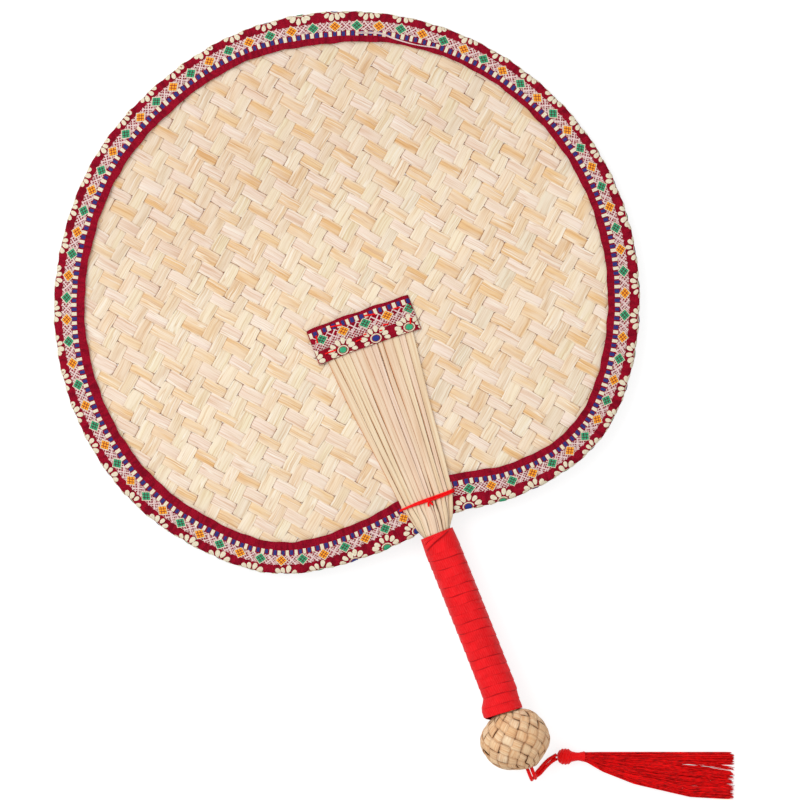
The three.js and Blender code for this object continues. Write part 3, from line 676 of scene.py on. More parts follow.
# %% Weave both families of strips
WEAVE_TURN = math.radians(39.5)
RISING_PITCH, FALLING_PITCH = 6.4, 5.8
STRIP_THICKNESS, CROWN = 0.36, 0.1
STRIP_SIDES = there_and_back(-1, -0.5, 0.5, 1)
STRIP_FACES = np.repeat((-0.5, 0.5), 4)
LEFT_EDGE, RIGHT_EDGE = 0, 3
AT_EDGE = np.abs(STRIP_SIDES) > 0.9
GAP_RANGE, TILT_RANGE = (-0.22, 0.02), (0.04, 0.09)
FLOAT_HEIGHT, FLOAT_FLATNESS, FLOAT_ROUNDNESS = 0.24, 5, 0.1
DIVE_STEPS = (-0.2, -0.09, -0.03, 0.03, 0.09, 0.2, 0.6, 1.0, 1.4)
STRIP_REACH = 27
STRIP_EDGE_MARGIN = 1.9
FEWEST_RINGS = 5
falling_way = np.array((math.sin(WEAVE_TURN), -math.cos(WEAVE_TURN)))
rising_way = np.array((math.cos(WEAVE_TURN), math.sin(WEAVE_TURN)))
reed_chance = np.random.default_rng(7)
numbers = np.arange(-STRIP_REACH, STRIP_REACH + 2)
column_edges = numbers + reed_chance.uniform(-0.11, 0.11, len(numbers))
row_edges = numbers + reed_chance.uniform(-0.12, 0.12, len(numbers))


def weave_place(across, up):
    """Where the weave's own count of columns and rows lies on the blade."""
    x = falling_way[0] * across * RISING_PITCH + rising_way[0] * up * FALLING_PITCH
    y = (BLADE_CENTRE + falling_way[1] * across * RISING_PITCH
         + rising_way[1] * up * FALLING_PITCH)
    drift_x = 0.7 * np.sin(y / 33 + 0.6) + 0.4 * np.sin(x / 19 + y / 41)
    drift_y = 0.7 * np.sin(x / 37 + 2.1) + 0.4 * np.sin(y / 23 - x / 47)
    return x + drift_x, y + drift_y


def float_height(phase):
    wave = np.sin(math.pi * phase / 2)
    flat = np.tanh(FLOAT_FLATNESS * wave) / math.tanh(FLOAT_FLATNESS)
    return FLOAT_HEIGHT * flat + FLOAT_ROUNDNESS * wave


def make_strips(rising):
    bundle = Bundle()
    own_edges, other_edges = (column_edges, row_edges) if rising else (row_edges, column_edges)
    pitch = RISING_PITCH if rising else FALLING_PITCH
    for number, left, right in zip(numbers, own_edges, own_edges[1:]):
        dives = numbers[(numbers + number) % 2 == 0]
        from_dive = np.tile(DIVE_STEPS, len(dives))[:, None]
        count = (dives[:, None] + DIVE_STEPS).reshape(-1, 1)
        span = np.interp(count, numbers, other_edges)
        height = float_height(count + number - (2 if rising else 0))
        gap = reed_chance.uniform(*GAP_RANGE) / pitch
        tilt = reed_chance.uniform(*TILT_RANGE)
        low, high = left + gap / 2, right - gap / 2
        ragged = 0.02 * np.sin(span * 2.3 + number) + 0.012 * np.sin(span * 6.1 + 2 * number)
        pinch = np.repeat(reed_chance.random(len(dives)), len(DIVE_STEPS))[:, None] ** 3
        narrow = 1 - (0.01 + 0.24 * pinch) * np.exp(-(from_dive / 0.14) ** 2)
        own = (low + high) / 2 + STRIP_SIDES * narrow * (high - low) / 2 + ragged
        other = np.broadcast_to(span, own.shape)
        x, y = weave_place(own, other) if rising else weave_place(other, own)
        bow = np.where(AT_EDGE, 0.0, CROWN) * np.sign(height) * np.minimum(np.abs(height) / 0.3, 1)
        z = height + bow + STRIP_SIDES * tilt + STRIP_FACES * STRIP_THICKNESS
        ends = [LEFT_EDGE, RIGHT_EDGE]
        kept = inside_blade(x[:, ends], y[:, ends], STRIP_EDGE_MARGIN).all(1)
        if kept.sum() < FEWEST_RINGS:
            continue
        tone = reed_chance.random()
        if not rising:
            tone = (0.0 if number % 2 else 0.55) + 0.45 * tone
        # Painted shade: the strip darkens where it dives under a crossing strip, most at the
        # float's corners.
        dark = np.exp(-(from_dive / 0.06) ** 2) * (0.12 + 1.1 * pinch) * np.where(AT_EDGE, 2.2, 0.7)
        # The strips also grow a little darker towards the blade's top, through the same attribute.
        darker_to_top = 0.09 * np.clip((y - 130) / 70, 0, 1) ** 1.5
        bundle.skin(np.stack((x, y, z), -1)[kept], span[kept] * pitch,
                    STRIP_SIDES * STRIP_EDGE_PLACE, tone, np.clip(dark + darker_to_top, 0, 1)[kept])
    return bundle


add_piece("rising_strips", make_strips(True), rising_reed, nodes=("woven_blade",),
          crease=40)
add_piece("falling_strips", make_strips(False), falling_reed, nodes=("woven_blade",),
          crease=40)

# %% [markdown]
# ## The ribbon round the rim
# A woven trim ribbon is folded in half over the rim, so it shows half its pattern on each face.
# Every mark of that pattern has a place along the ribbon and a distance from the fold. One
# function lays such a place on the rim, over the fold and on to the back, with a height above the
# cloth. The cloth and every motif use it, so that the pattern bends round the rim as cloth does.

# %% Find places along the folded ribbon
RIBBON_WIDTH, RIBBON_THICKNESS, RIBBON_OUTSIDE = 16.5, 0.45, 1.57
RIBBON_END_OFFSET = 8.0
RIM_STEPS = 3000
PUCKER_START, PUCKER_RUN, PUCKER_HEIGHT = 8, 9, 0.26
FOLD_BUMP, FOLD_BUMP_REACH = 0.2, 3
FOLD_QUARTER = RIBBON_OUTSIDE * math.pi / 2
RIBBON_HALF = RIBBON_WIDTH - RIBBON_OUTSIDE + FOLD_QUARTER
end_turn = math.asin(RIBBON_END_OFFSET / BLADE_CENTRE)
rim_turns = np.linspace(end_turn, 2 * math.pi - end_turn, RIM_STEPS)
rim_radius = outline_radius(rim_turns)
rim_line = np.stack(
    (rim_radius * np.sin(rim_turns), BLADE_CENTRE - rim_radius * np.cos(rim_turns)), 1)
rim_run = run_along(rim_line)
rim_ahead = np.gradient(rim_line, axis=0)
rim_ahead /= np.linalg.norm(rim_ahead, axis=1)[:, None]
rim_rows = np.column_stack((rim_run, rim_line, rim_ahead))
RIM_LENGTH = float(rim_run[-1])


def pucker(run, width):
    """The inner edge of a straight ribbon on a round rim stands up in small waves."""
    loose = np.clip((np.abs(width) - PUCKER_START) / PUCKER_RUN, 0, 1)
    wave = np.sin(run / 2.9 + 1.3 * np.sin(run / 17)) + 0.6 * np.sin(run / 1.7 + np.sign(width))
    return PUCKER_HEIGHT * loose * loose * (wave + 1.6)


def fold_bumps(run, reach):
    """The fold is soft, and wanders in and out a little."""
    coarse = np.sin(run / 2.94 + 1.4 * np.sin(run / 31))
    fine = 0.6 * np.sin(run / 1.31 + 2 * np.sin(run / 17))
    return FOLD_BUMP * np.exp(-(reach / FOLD_BUMP_REACH) ** 2) * (coarse + fine)


def on_rim(run, width, lift):
    """A place on the fan: run along the rim, width from the fold (back is less than nought)."""
    run, width, lift = np.broadcast_arrays(*(np.asarray(v, float) for v in (run, width, lift)))
    x, y, ahead_x, ahead_y = read_rows(rim_rows, run)
    reach = np.abs(width)
    radius = RIBBON_OUTSIDE + lift + pucker(run, width) + fold_bumps(run, reach)
    bend = np.minimum(reach, FOLD_QUARTER) / RIBBON_OUTSIDE
    inset = RIBBON_OUTSIDE - radius * np.cos(bend) + np.maximum(reach - FOLD_QUARTER, 0)
    height = radius * np.sin(bend)
    return np.stack(
        (x - ahead_y * inset, y + ahead_x * inset, np.where(width < 0, -height, height)), -1)


print("The ribbon runs", round(RIM_LENGTH), "mm round the rim")

# %% [markdown]
# The cloth of the ribbon is maroon with fine threads across it, and a zone of its pattern is a
# lattice of fine whitish threads. Those are too fine for mesh, so they are drawn by the nodes,
# from the place on the ribbon that every point carries.

# %% Weave the ribbon's cloth
RIB_LENGTH = 0.62
LATTICE_LENGTH, LATTICE_SLOPE, LATTICE_FINENESS = 2.04, 1.25, 0.58
LATTICE_START, LATTICE_END = 5.2, 9.9


def ribbon_finish():
    finish = Finish("maroon ribbon", Roughness=0.8, Specular_IOR_Level=0.08)
    specks = finish.noise((1.7, 1.7, 3.0), 4.0)
    painted_fold_shade = finish.noise((0.5, 0.16, 3.0), 2.0)
    ground = finish.ramp(specks, (0.3, dye(120, 3, 27)), (0.7, dye(180, 18, 46)))
    # Painted shade: dark patches stretched across the ribbon stand for the shade in its small
    # folds.
    ground = finish.tinted(ground, (84, 0, 20), painted_fold_shade, (0.42, 0.0), (0.66, 0.55))
    reach = finish.math("ABSOLUTE", finish.across)
    lines = []
    for slope in (LATTICE_SLOPE, -LATTICE_SLOPE):
        slanted = finish.math("ADD", finish.along, finish.times(reach, slope))
        wave = finish.wave(slanted, LATTICE_LENGTH)
        lines.append(finish.math("GREATER_THAN", wave, LATTICE_FINENESS))
    zone = finish.times(finish.math("GREATER_THAN", reach, LATTICE_START),
                        finish.math("LESS_THAN", reach, LATTICE_END))
    worn = finish.ramp(finish.noise((1.1, 1.1, 3.0), 2.0), (0.4, 0.35), (0.55, 1.0))
    lattice = finish.times(finish.times(finish.math("MAXIMUM", *lines), zone), worn)
    colour = finish.mix(lattice, ground, dye(240, 220, 212))
    ribs = finish.times(finish.wave(finish.along, RIB_LENGTH), 0.3)
    return finish.made(colour, finish.math("ADD", ribs, specks), 0.0003)


ribbon_cloth = ribbon_finish()
print("The lattice lies", LATTICE_START, "to", LATTICE_END, "mm from the fold")

# %% [markdown]
# No hand lays a ribbon quite evenly. By the neck most of it shows on the front, and how much of
# its edge is turned under differs round the rim.

# %% Lay the ribbon's cloth over the rim
RIBBON_STATIONS = 900
RAGGED_EDGE = 0.2
CLOTH_SHARES = np.concatenate(
    (np.linspace(-1, -0.16, 9), np.linspace(-0.13, 0.13, 9), np.linspace(0.16, 1, 9)))


def bells(run, rows):
    """Smooth rises along the rim; each row is a height, its middle and its spread."""
    return sum(height * np.exp(-((run - middle) / spread) ** 2) for height, middle, spread in rows)


def fold_shift(run):
    """How far the ribbon is laid off its middle."""
    return bells(run, ((4.4, 0, 40), (4.2, RIM_LENGTH, 44), (1.1, 170, 100), (1.6, 430, 30),
                       (0.6, 790, 60)))


def hidden_width(run):
    """How much of the ribbon's half is turned under."""
    return 0.8 + bells(run, ((1.3, 340, 67), (-0.9, 765, 130)))


def lay_cloth(place, run, width, shift):
    """A closed band of the ribbon's cloth; shift is how far its middle lies off the fold."""
    rings = np.concatenate((place(run, width, 0), place(run, width[:, ::-1], -RIBBON_THICKNESS)), 1)
    cloth = Bundle()
    cloth.skin(rings, run, np.concatenate((width, width[:, ::-1]), 1) - shift)
    return cloth


def rim_cloth():
    run = np.linspace(0, RIM_LENGTH, RIBBON_STATIONS)[:, None]
    ragged = np.sin(run / 4.1 + 2 * np.sin(run / 23)) + 0.6 * np.sin(run / 1.9)
    edge = RIBBON_HALF - hidden_width(run) + RAGGED_EDGE * ragged
    return lay_cloth(on_rim, run, CLOTH_SHARES * edge + fold_shift(run), fold_shift(run))


rim_piece = add_piece("rim_cloth", rim_cloth(), ribbon_cloth, nodes=("rim_ribbon",))

# %% [markdown]
# ## Motifs of the ribbon
# The pattern repeats a flower with a gem at its heart, a diamond of small beads in a lattice, and
# a row of navy and ivory blocks. On a jacquard ribbon these stand up by the thickness of their
# threads. They could be painted with nodes, but raised threads catch the light at every angle, so
# each is a small pad of its own, laid by the same function as the cloth.

# %% Dye the motif threads
def motif_finish(name, light, dark):
    finish = Finish(name, Roughness=0.7, Specular_IOR_Level=0.25)
    fibres = finish.noise((3.2, 0.8, 5.0), 3.0)
    colour = finish.ramp(fibres, (0.32, dye(*dark)), (0.66, dye(*light)))
    return finish.made(colour, fibres, 0.0002, 0.6)


MOTIF_DYES = {
    "ivory": motif_finish("ivory thread", (248, 240, 218), (214, 196, 160)),
    "navy": motif_finish("navy thread", (52, 56, 136), (28, 28, 86)),
    "green": motif_finish("green thread", (66, 190, 136), (36, 132, 92)),
    "orange": motif_finish("orange thread", (255, 190, 50), (255, 136, 14)),
    "blue": motif_finish("blue thread", (40, 62, 150), (20, 34, 104)),
    "pink": motif_finish("pale pink thread", (246, 230, 222), (220, 176, 180)),
    "dark": motif_finish("dark thread", (84, 14, 30), (50, 6, 20)),
    "wine": motif_finish("wine thread", (168, 36, 36), (126, 16, 24)),
}
print(len(MOTIF_DYES), "dyes for the motifs")

# %% [markdown]
# Every motif is an outline of places along and across the ribbon. Square, diamond and round ones
# are scaled from a set of corners. An outline that crosses the ribbon's end or edge is cut there,
# and slivers are left out.

# %% Raise pads of thread over outlines
PAD_HEIGHT, PAD_ROOT = 0.16, 0.08
PAD_TOP_SHARE, PAD_SHOULDER = 0.72, 0.7
SQUARE = ((-1, -1), (1, -1), (1, 1), (-1, 1))
DIAMOND = ((-1, 0), (0, -1), (1, 0), (0, 1))
ROUND = [(math.cos(turn), math.sin(turn)) for turn in around(12)]
LOBE_SIDES, LOBE_POINT = 10, 0.22


def lay_pad(bundle, place, outline, height):
    """A low pad of thread over an outline of (run, width) points."""
    centre = outline.mean(0)
    rings = []
    for share, lift in ((1.0, -PAD_ROOT), (1.0, height * PAD_SHOULDER), (PAD_TOP_SHARE, height)):
        points = centre + (outline - centre) * share
        rings.append(place(points[:, 0], points[:, 1], lift))
    bundle.skin(rings, outline[:, 0], outline[:, 1])


def scaled(corners, run, width, half_run, half_width):
    return [(run + a * half_run, width + b * half_width) for a, b in corners]


def lobe(run, width, direction, distance, long_half, wide_half):
    """One rounded petal, at a distance from the flower's centre."""
    c, s = math.cos(direction), math.sin(direction)
    outline = []
    for turn in around(LOBE_SIDES):
        a = distance + long_half * math.cos(turn)
        b = wide_half * math.sin(turn) * (1 + LOBE_POINT * math.cos(turn))
        outline.append((run + c * a - s * b, width + s * a + c * b))
    return outline


def thin_line(run, width, to_run, to_width, half):
    length = math.hypot(to_run - run, to_width - width)
    a, b = -(to_width - width) / length * half, (to_run - run) / length * half
    return [(run + a, width + b), (run - a, width - b),
            (to_run - a, to_width - b), (to_run + a, to_width + b)]


print("A lobe has", len(lobe(0, 0, 0, 4, 2, 1)), "points")

# %% Lay the pattern round the rim
BLOCK_START, BLOCK_PITCH, BLOCK_ROW = 1.4, 2.6, 11.4
DIAMOND_PITCH, DIAMOND_ROW = 12.26, 7.5
BEAD_SIZE, BEAD_STEP = (0.83, 0.71), (1.1, 0.95)
FLOWER_PITCH, FLOWER_ROW, FLOWER_PETALS = 18.5, -1.9, 12
PETAL_REACH, PETAL_SIZE = (5.9, 4.7), (1.9, 1.25)
PATTERN_MARGIN, SMALLEST_PAD = 0.3, 0.45
motif_chance = np.random.default_rng(31)


def lay_block(lay, k, run, side, shift):
    odd = k % 2
    wide = (1.25 if odd else 1.42) + motif_chance.uniform(-0.16, 0.12)
    row = BLOCK_ROW + 0.15 * odd + motif_chance.uniform(-0.12, 0.12)
    middle = side * row + shift(run)
    run += motif_chance.uniform(-0.14, 0.14)
    size = motif_chance.uniform(0.84, 1.04), wide
    lay("navy" if odd else "ivory", scaled(SQUARE, run, middle, *size))


def lay_diamond(lay, k, run, middle):
    """A diamond of nine beads, with the pale lines of the lattice beside it."""
    dyed, under = ("orange", "wine") if k % 2 else ("green", "dark")
    lay("ivory", scaled(DIAMOND, run, middle, 3.75, 3.2), 0.03)
    lay(under, scaled(DIAMOND, run, middle, 3.15, 2.7), 0.06)
    for a in (-1, 0, 1):
        for b in (-1, 0, 1):
            spot = run + (a - b) * BEAD_STEP[0], middle + (a + b) * BEAD_STEP[1]
            lay(dyed, scaled(DIAMOND, *spot, *BEAD_SIZE), 0.24)
    for a, c in ((3.9, 8.6), (8.36, 3.66)):
        for rise in (2.3, -2.3):
            lay("pink", thin_line(run + a, middle - rise, run + c, middle + rise, 0.24), 0.13)
    for a, c in ((-2.6, -4.6), (2.6, 4.6)):
        for rise in (1, -1):
            lay("pink", thin_line(run + a, middle + rise, run + c, middle + 2.6 * rise, 0.2), 0.12)


def lay_flower(lay, k, run, heart):
    for petal in range(FLOWER_PETALS):
        direction = math.radians(15 + 30 * petal + motif_chance.uniform(-4, 4))
        along, across = PETAL_REACH[0] * math.cos(direction), PETAL_REACH[1] * math.sin(direction)
        away = math.hypot(along, across) + 0.3 * (petal % 3 - 1)
        away += motif_chance.uniform(-0.25, 0.25)
        full = motif_chance.uniform(0.84, 1.08)
        size = (half * full for half in PETAL_SIZE)
        lay("ivory", lobe(run, heart, math.atan2(across, along), away, *size), 0.3)
    gem = "green" if k % 2 else "blue"
    for dyed, size, height in (("ivory", (3.1, 2.5), 0.1), ("wine", (2.5, 1.95), 0.16),
                               (gem, (2.0, 1.6), 0.36)):
        lay(dyed, scaled(ROUND, run, heart, *size), height)


def lay_pattern(prefix, place, length, shift, flower_phase, diamond_phase, bounds, sides=(1,)):
    """The ribbon's pattern over its length; bounds are the widths that it covers."""
    motifs = {dyed: Bundle() for dyed in MOTIF_DYES}
    low, high = bounds

    def lay(dyed, outline, height=PAD_HEIGHT):
        outline = np.clip(outline, (PATTERN_MARGIN, low), (length - PATTERN_MARGIN, high))
        if np.ptp(outline, axis=0).min() > SMALLEST_PAD:
            lay_pad(motifs[dyed], place, outline, height)

    for side in sides:
        for k, run in enumerate(np.arange(BLOCK_START, length, BLOCK_PITCH)):
            lay_block(lay, k, run, side, shift)
        for k, run in enumerate(np.arange(diamond_phase, length, DIAMOND_PITCH)):
            lay_diamond(lay, k, run, side * DIAMOND_ROW + shift(run))
    for k, run in enumerate(np.arange(flower_phase, length + 6, FLOWER_PITCH)):
        lay_flower(lay, k, run, shift(run) + FLOWER_ROW)
    for dyed, bundle in motifs.items():
        if bundle.count:
            add_piece(f"{prefix}_{dyed}_motifs", bundle, MOTIF_DYES[dyed],
                      crease=60)


lay_pattern("rim", on_rim, RIM_LENGTH, fold_shift, flower_phase=12.6, diamond_phase=15.0,
            bounds=(-RIBBON_HALF, RIBBON_HALF + 4), sides=(1, -1))

# %% [markdown]
# A thread of the ribbon's edge has come loose at the upper right, and lies along the blue blocks.

# %% Lay the loose thread
LOOSE_THREAD = [
    (57.4, 256.8), (63.5, 254.6), (69.5, 251.7), (74.3, 247.3), (79.7, 243.0), (85.3, 239.1),
    (93.5, 234.6)]
LOOSE_THREAD_RADIUS, LOOSE_THREAD_LEVEL = 0.24, 2.15
loose = Bundle()
for apart in (0.0, 0.55):
    route = [(x + apart, y + apart * (1 - k / 3), LOOSE_THREAD_LEVEL + 0.12 * (k % 2))
             for k, (x, y) in enumerate(LOOSE_THREAD)]
    line, run = smooth_line(route, 0.6)
    loose.skin(carried_rings(line, LOOSE_THREAD_RADIUS, 6), run[:, None])
add_piece("rim_loose_thread", loose, MOTIF_DYES["pink"], crease=70)

# %% [markdown]
# ## The sheaf of reeds
# Twelve flat reeds lie side by side from the band down to the handle on each face. They lie flat
# at the top, draw together towards the tie, and curl like gutters as they are pressed into the
# round handle. Each is one strip whose section goes over from flat to curled.

# %% Colour the sheaf
def sheaf_finish():
    finish = Finish("sheaf reed", Roughness=0.5, Specular_IOR_Level=0.35)
    streaks = finish.noise((0.03, 2.6, 23.0), 5.0)
    tone = finish.ramp(
        finish.chance, (0.0, dye(238, 214, 190)), (0.4, dye(240, 222, 192)),
        (0.7, dye(240, 218, 202)), (1.0, dye(234, 204, 172)))
    grained = finish.ramp(streaks, (0.3, dye(228, 198, 164)), (0.58, dye(255, 250, 240)))
    colour = finish.mix(0.7, tone, grained, "MULTIPLY")
    # Painted shade: the edge of each reed that lies under its neighbour is tinted brown.
    painted_shade_edge = finish.times(finish.across, -1)
    colour = finish.tinted(
        colour, (198, 124, 58), painted_shade_edge, (0.4, 0.0), (0.8, 0.35), (0.95, 1.0))
    return finish.made(colour, streaks, 0.0004, rough=finish.ramp(streaks, *REED_ROUGHNESS))


sheaf_reed = sheaf_finish()
print("One finish for both sheaves")

# %% Lay the reeds of both sheaves
FACES = ((1, "front"), (-1, "back"))
REED_COUNT = 12
SHEAF_TOP, SHEAF_TOP_WIDTH, SHEAF_TOP_LEAN = 119.0, 52.0, 3.4
TIE_HEIGHT, TIE_WIDTH, TIE_LEAN = 12.7, 28.3, 1.5
HANDLE_START, HANDLE_LENGTH = 5.3, 102.0
REED_ROUND, REED_HALF_THICKNESS = 7.4, 0.2
REED_SIDES = there_and_back(-1, -0.8, -0.3, 0.3, 0.8, 1)
REED_FACES = np.repeat((1, -1), 6)
REED_RINGS = np.concatenate((np.linspace(-9, 26, 36), np.linspace(28, 118, 46)))[:, None]
SHEAF_ROWS = np.array([
    # height on the fan, base, half thickness, roundness, heap
    (-9.0, 0.0, 0.6, 1.0, 1.0), (-5.3, 0.0, 0.6, 1.0, 1.0), (0.0, 1.87, 0.5, 0.5, 0.5),
    (12.7, 1.87, 0.4, 0.0, 0.15), (22.5, 1.9, 0.35, 0.0, 0.06), (30.0, 1.12, 0.3, 0.0, 0.02),
    (118.0, 1.12, 0.25, 0.0, 0.0)])
REED_HABITS = {
    # heights on the fan, and how much a reed does there
    "curl": ((-9, 1, 14, 34, 70), (0.6, 0.8, 0.55, 0.22, 0.1)),
    "gap": ((-9, 3, 16, 118), (-0.05, -0.13, -0.09, -0.06)),
    "pinch": ((-9, 0, 9, 13), (0.1, 0.4, 0.35, 0.0)),
    "tilt": ((-9, 4, 16, 118), (0.3, 0.75, 0.4, 0.2)),
    "overlap": ((-9, 4, 13), (0.4, 0.8, 0.0)),
}
sheaf_chance = np.random.default_rng(21)


def sheaf_place(y, across):
    """The middle of the sheaf's thickness, across from 0 at the left to 1 at the right."""
    base, thick, rounded, heap = read_rows(SHEAF_ROWS, y)
    share = (y - TIE_HEIGHT) / (SHEAF_TOP - TIE_HEIGHT)
    width = TIE_WIDTH + (SHEAF_TOP_WIDTH - TIE_WIDTH) * np.maximum(share, -0.2)
    lean = TIE_LEAN + (SHEAF_TOP_LEAN - TIE_LEAN) * share
    flat_x = (across - 0.5) * width + lean
    round_x = -REED_ROUND * np.cos(math.pi * across)
    lift = REED_ROUND * np.sin(math.pi * across) * heap
    return flat_x + (round_x - flat_x) * rounded, np.where(rounded > 0.999, 0, base + thick) + lift


def lay_sheaf(side):
    bundle, y = Bundle(), REED_RINGS
    habit = {name: np.interp(y, *rows) for name, rows in REED_HABITS.items()}
    edges = np.linspace(0, 1, REED_COUNT + 1)
    edges[1:-1] += sheaf_chance.uniform(-0.012, 0.012, REED_COUNT - 1)
    for k in range(REED_COUNT):
        sway = 0.004 * np.sin(y / (9 + 7 * sheaf_chance.random()) + 6 * sheaf_chance.random())
        curl = habit["curl"] * sheaf_chance.uniform(0.6, 1.3)
        wide = sheaf_chance.random() ** 3
        tilt = habit["tilt"] * sheaf_chance.uniform(0.35, 1.75)
        over = k % 2 * habit["overlap"]
        gap = habit["gap"] + 0.14 * wide * (1 + np.sin(y / 13 + 9 * wide))
        gap = (gap + habit["pinch"] * wide - 0.6 * over) / REED_COUNT
        low, high = edges[k] + gap, edges[k + 1] - gap
        x, z = sheaf_place(y, (low + high) / 2 + REED_SIDES * (high - low) / 2 + sway)
        bow = curl * (1 - np.abs(REED_SIDES) ** 2.2) - 0.15
        raised = z + bow + REED_FACES * REED_HALF_THICKNESS + REED_SIDES * tilt + 0.7 * over
        rings = np.stack((x, np.broadcast_to(y, x.shape), side * raised), -1)
        bundle.skin(rings, y, REED_SIDES, sheaf_chance.random())
    return bundle


for side, word in FACES:
    add_piece(f"{word}_sheaf", lay_sheaf(side), sheaf_reed, crease=55,
              nodes=[f"{word}_reed_{k:02d}" for k in range(1, REED_COUNT + 1)])

# %% [markdown]
# ## Bands across the sheaves
# A short piece of the same ribbon is sewn over the cut ends at the top of each sheaf, folded under
# at its lower edge, with a few red stitches. It reuses the ribbon's cloth and pattern.

# %% Lay the bands
BAND_LENGTH, BAND_WIDTH = 57.2, 19.2
BAND_LEFT, BAND_FOLD_HEIGHT, BAND_LEVEL = -25.2, 100.0, 2.35
BAND_END_DROP, BAND_END_RUN = 1.0, 2.6
BAND_SAG, BAND_SAG_START, BAND_SAG_RUN = 2.0, 0.62, 0.38
BAND_SHIFT = 1.6
BAND_STATIONS, BAND_POINTS_ACROSS = 60, 16
PATTERN_HEIGHT = 4.6
STITCH_RADIUS, STITCH_RISE = 0.42, 0.5
BAND_STITCHES = [
    ((-12.5, 116.4), (-6.4, 115.4)), ((6.5, 115.9), (12.1, 114.8)), ((22.1, 114.3), (25.5, 114.1)),
    ((-21.2, 115), (-21.8, 111.3)), ((-20.1, 104.3), (-14.1, 103.9)), ((-2.5, 104.5), (0.5, 104.8)),
    ((14, 108), (16.6, 107.5)), ((28.7, 107.1), (27.7, 104.2)), ((2.8, 106.6), (3.8, 106.5)),
    ((11.3, 105.7), (12.3, 105.5))]


def band_place(side):
    """Turns a run along a band and a width up from its fold into a place on the fan."""
    def place(run, width, lift):
        run, width, lift = np.broadcast_arrays(*(np.asarray(v, float) for v in (run, width, lift)))
        ends = np.clip(1 - np.minimum(run, BAND_LENGTH - run) / BAND_END_RUN, 0, 1)
        wave = 0.1 * np.sin(run / 3.1) * np.clip((width - 12) / 6, 0, 1)
        level = BAND_LEVEL - BAND_END_DROP * ends ** 2 + wave + lift
        low = np.clip((run / BAND_LENGTH - BAND_SAG_START) / BAND_SAG_RUN, 0, 1) ** 1.5
        x = BAND_LEFT + (run if side > 0 else BAND_LENGTH - run)
        y = BAND_FOLD_HEIGHT + width + 0.35 * np.sin(run / 8.0) - BAND_SAG * low
        return np.stack((x, y, side * level), -1)
    return place


def lay_stitches(place):
    stitches = Bundle()
    share = np.linspace(0, 1, 9)[:, None]
    for stitch in BAND_STITCHES:
        start, end = np.array(stitch) - (BAND_LEFT, BAND_FOLD_HEIGHT)
        run, width = (start + (end - start) * share).T
        line = place(run, width, 0.1 + STITCH_RISE * np.sin(math.pi * share[:, 0]) ** 0.5)
        stitches.skin(carried_rings(line, STITCH_RADIUS, 6), share * 4)
    return stitches


def lay_band(side, word):
    place = band_place(side)
    run = np.linspace(0, BAND_LENGTH, BAND_STATIONS)[:, None]
    share = np.linspace(0, 1, BAND_POINTS_ACROSS)
    width = BAND_WIDTH * share + 0.25 * np.sin(run / 2.7) * share
    cloth = add_piece(f"{word}_band_cloth", lay_cloth(place, run, width, BAND_SHIFT), ribbon_cloth,
                      nodes=(f"{word}_band",))
    lay_pattern(f"{word}_band", lambda run, width, lift: place(run, width + PATTERN_HEIGHT, lift),
                BAND_LENGTH, lambda run: 0.0, flower_phase=-3.9, diamond_phase=6.1,
                bounds=(-4.4, BAND_WIDTH - 4.8))
    add_piece(f"{word}_band_stitches", lay_stitches(place), cord_red, crease=70)


for side, word in FACES:
    lay_band(side, word)

# %% [markdown]
# ## The ties
# Two strands of red thread hold each sheaf together just above the handle, with a small knot.

# %% Tie the sheaves
TIE_STRANDS = ((0.35, 0.6), (-0.35, -0.5))
TIE_STEPS, TIE_SIDES = 60, 7
TIE_RADIUS, TAIL_RADIUS = 0.62, 0.55
TIE_LIFT, TIE_END_DROP, TIE_END_SHARE = 1.3, 1.7, 0.05
KNOT_ACROSS = 0.52


def lay_tie(side, word):
    bundle = Bundle()
    across = np.linspace(-0.01, 1.01, TIE_STEPS)
    ends = np.clip(1 - np.minimum(across + 0.01, 1.01 - across) / TIE_END_SHARE, 0, 1)
    for strand, (shift, slope) in enumerate(TIE_STRANDS):
        y = TIE_HEIGHT + shift + slope * (across - 0.5) + 0.35 * np.sin(across * 5 + strand)
        x, z = sheaf_place(y, across)
        z = z + TIE_LIFT + 0.08 * np.sin(across * 75) - TIE_END_DROP * ends ** 2
        line = np.stack((x + (across - 0.5) * 1.6, y, side * z), 1)
        bundle.skin(carried_rings(line, TIE_RADIUS, TIE_SIDES), across[:, None] * 30)
    knot_x, knot_z = sheaf_place(TIE_HEIGHT, KNOT_ACROSS)
    for lean in (-0.5, 0.9):
        knots = ((-0.6, 0.4, 1.7), (0.5, -0.5, 2.1), (lean, -2.0, 1.8), (1.6 * lean, -3.4, 1.7))
        tail, run = smooth_line([(knot_x + right, TIE_HEIGHT + up, side * (knot_z + out))
                                 for right, up, out in knots], 0.3)
        bundle.skin(carried_rings(tail, TAIL_RADIUS, TIE_SIDES), run[:, None])
    add_piece(f"{word}_thread_tie", bundle, cord_red, nodes=(f"{word}_tie",),
              crease=70)


for side, word in FACES:
    lay_tie(side, word)

# %% [markdown]
# ## The tape round the handle
# Red satin tape is wound round the stick, each turn lying half over the last. A ribbed cylinder
# would show the lines, but not the edge of each turn standing over the next, so the tape is a
# real band in a long helix whose lower edge lies on top of the next turn.

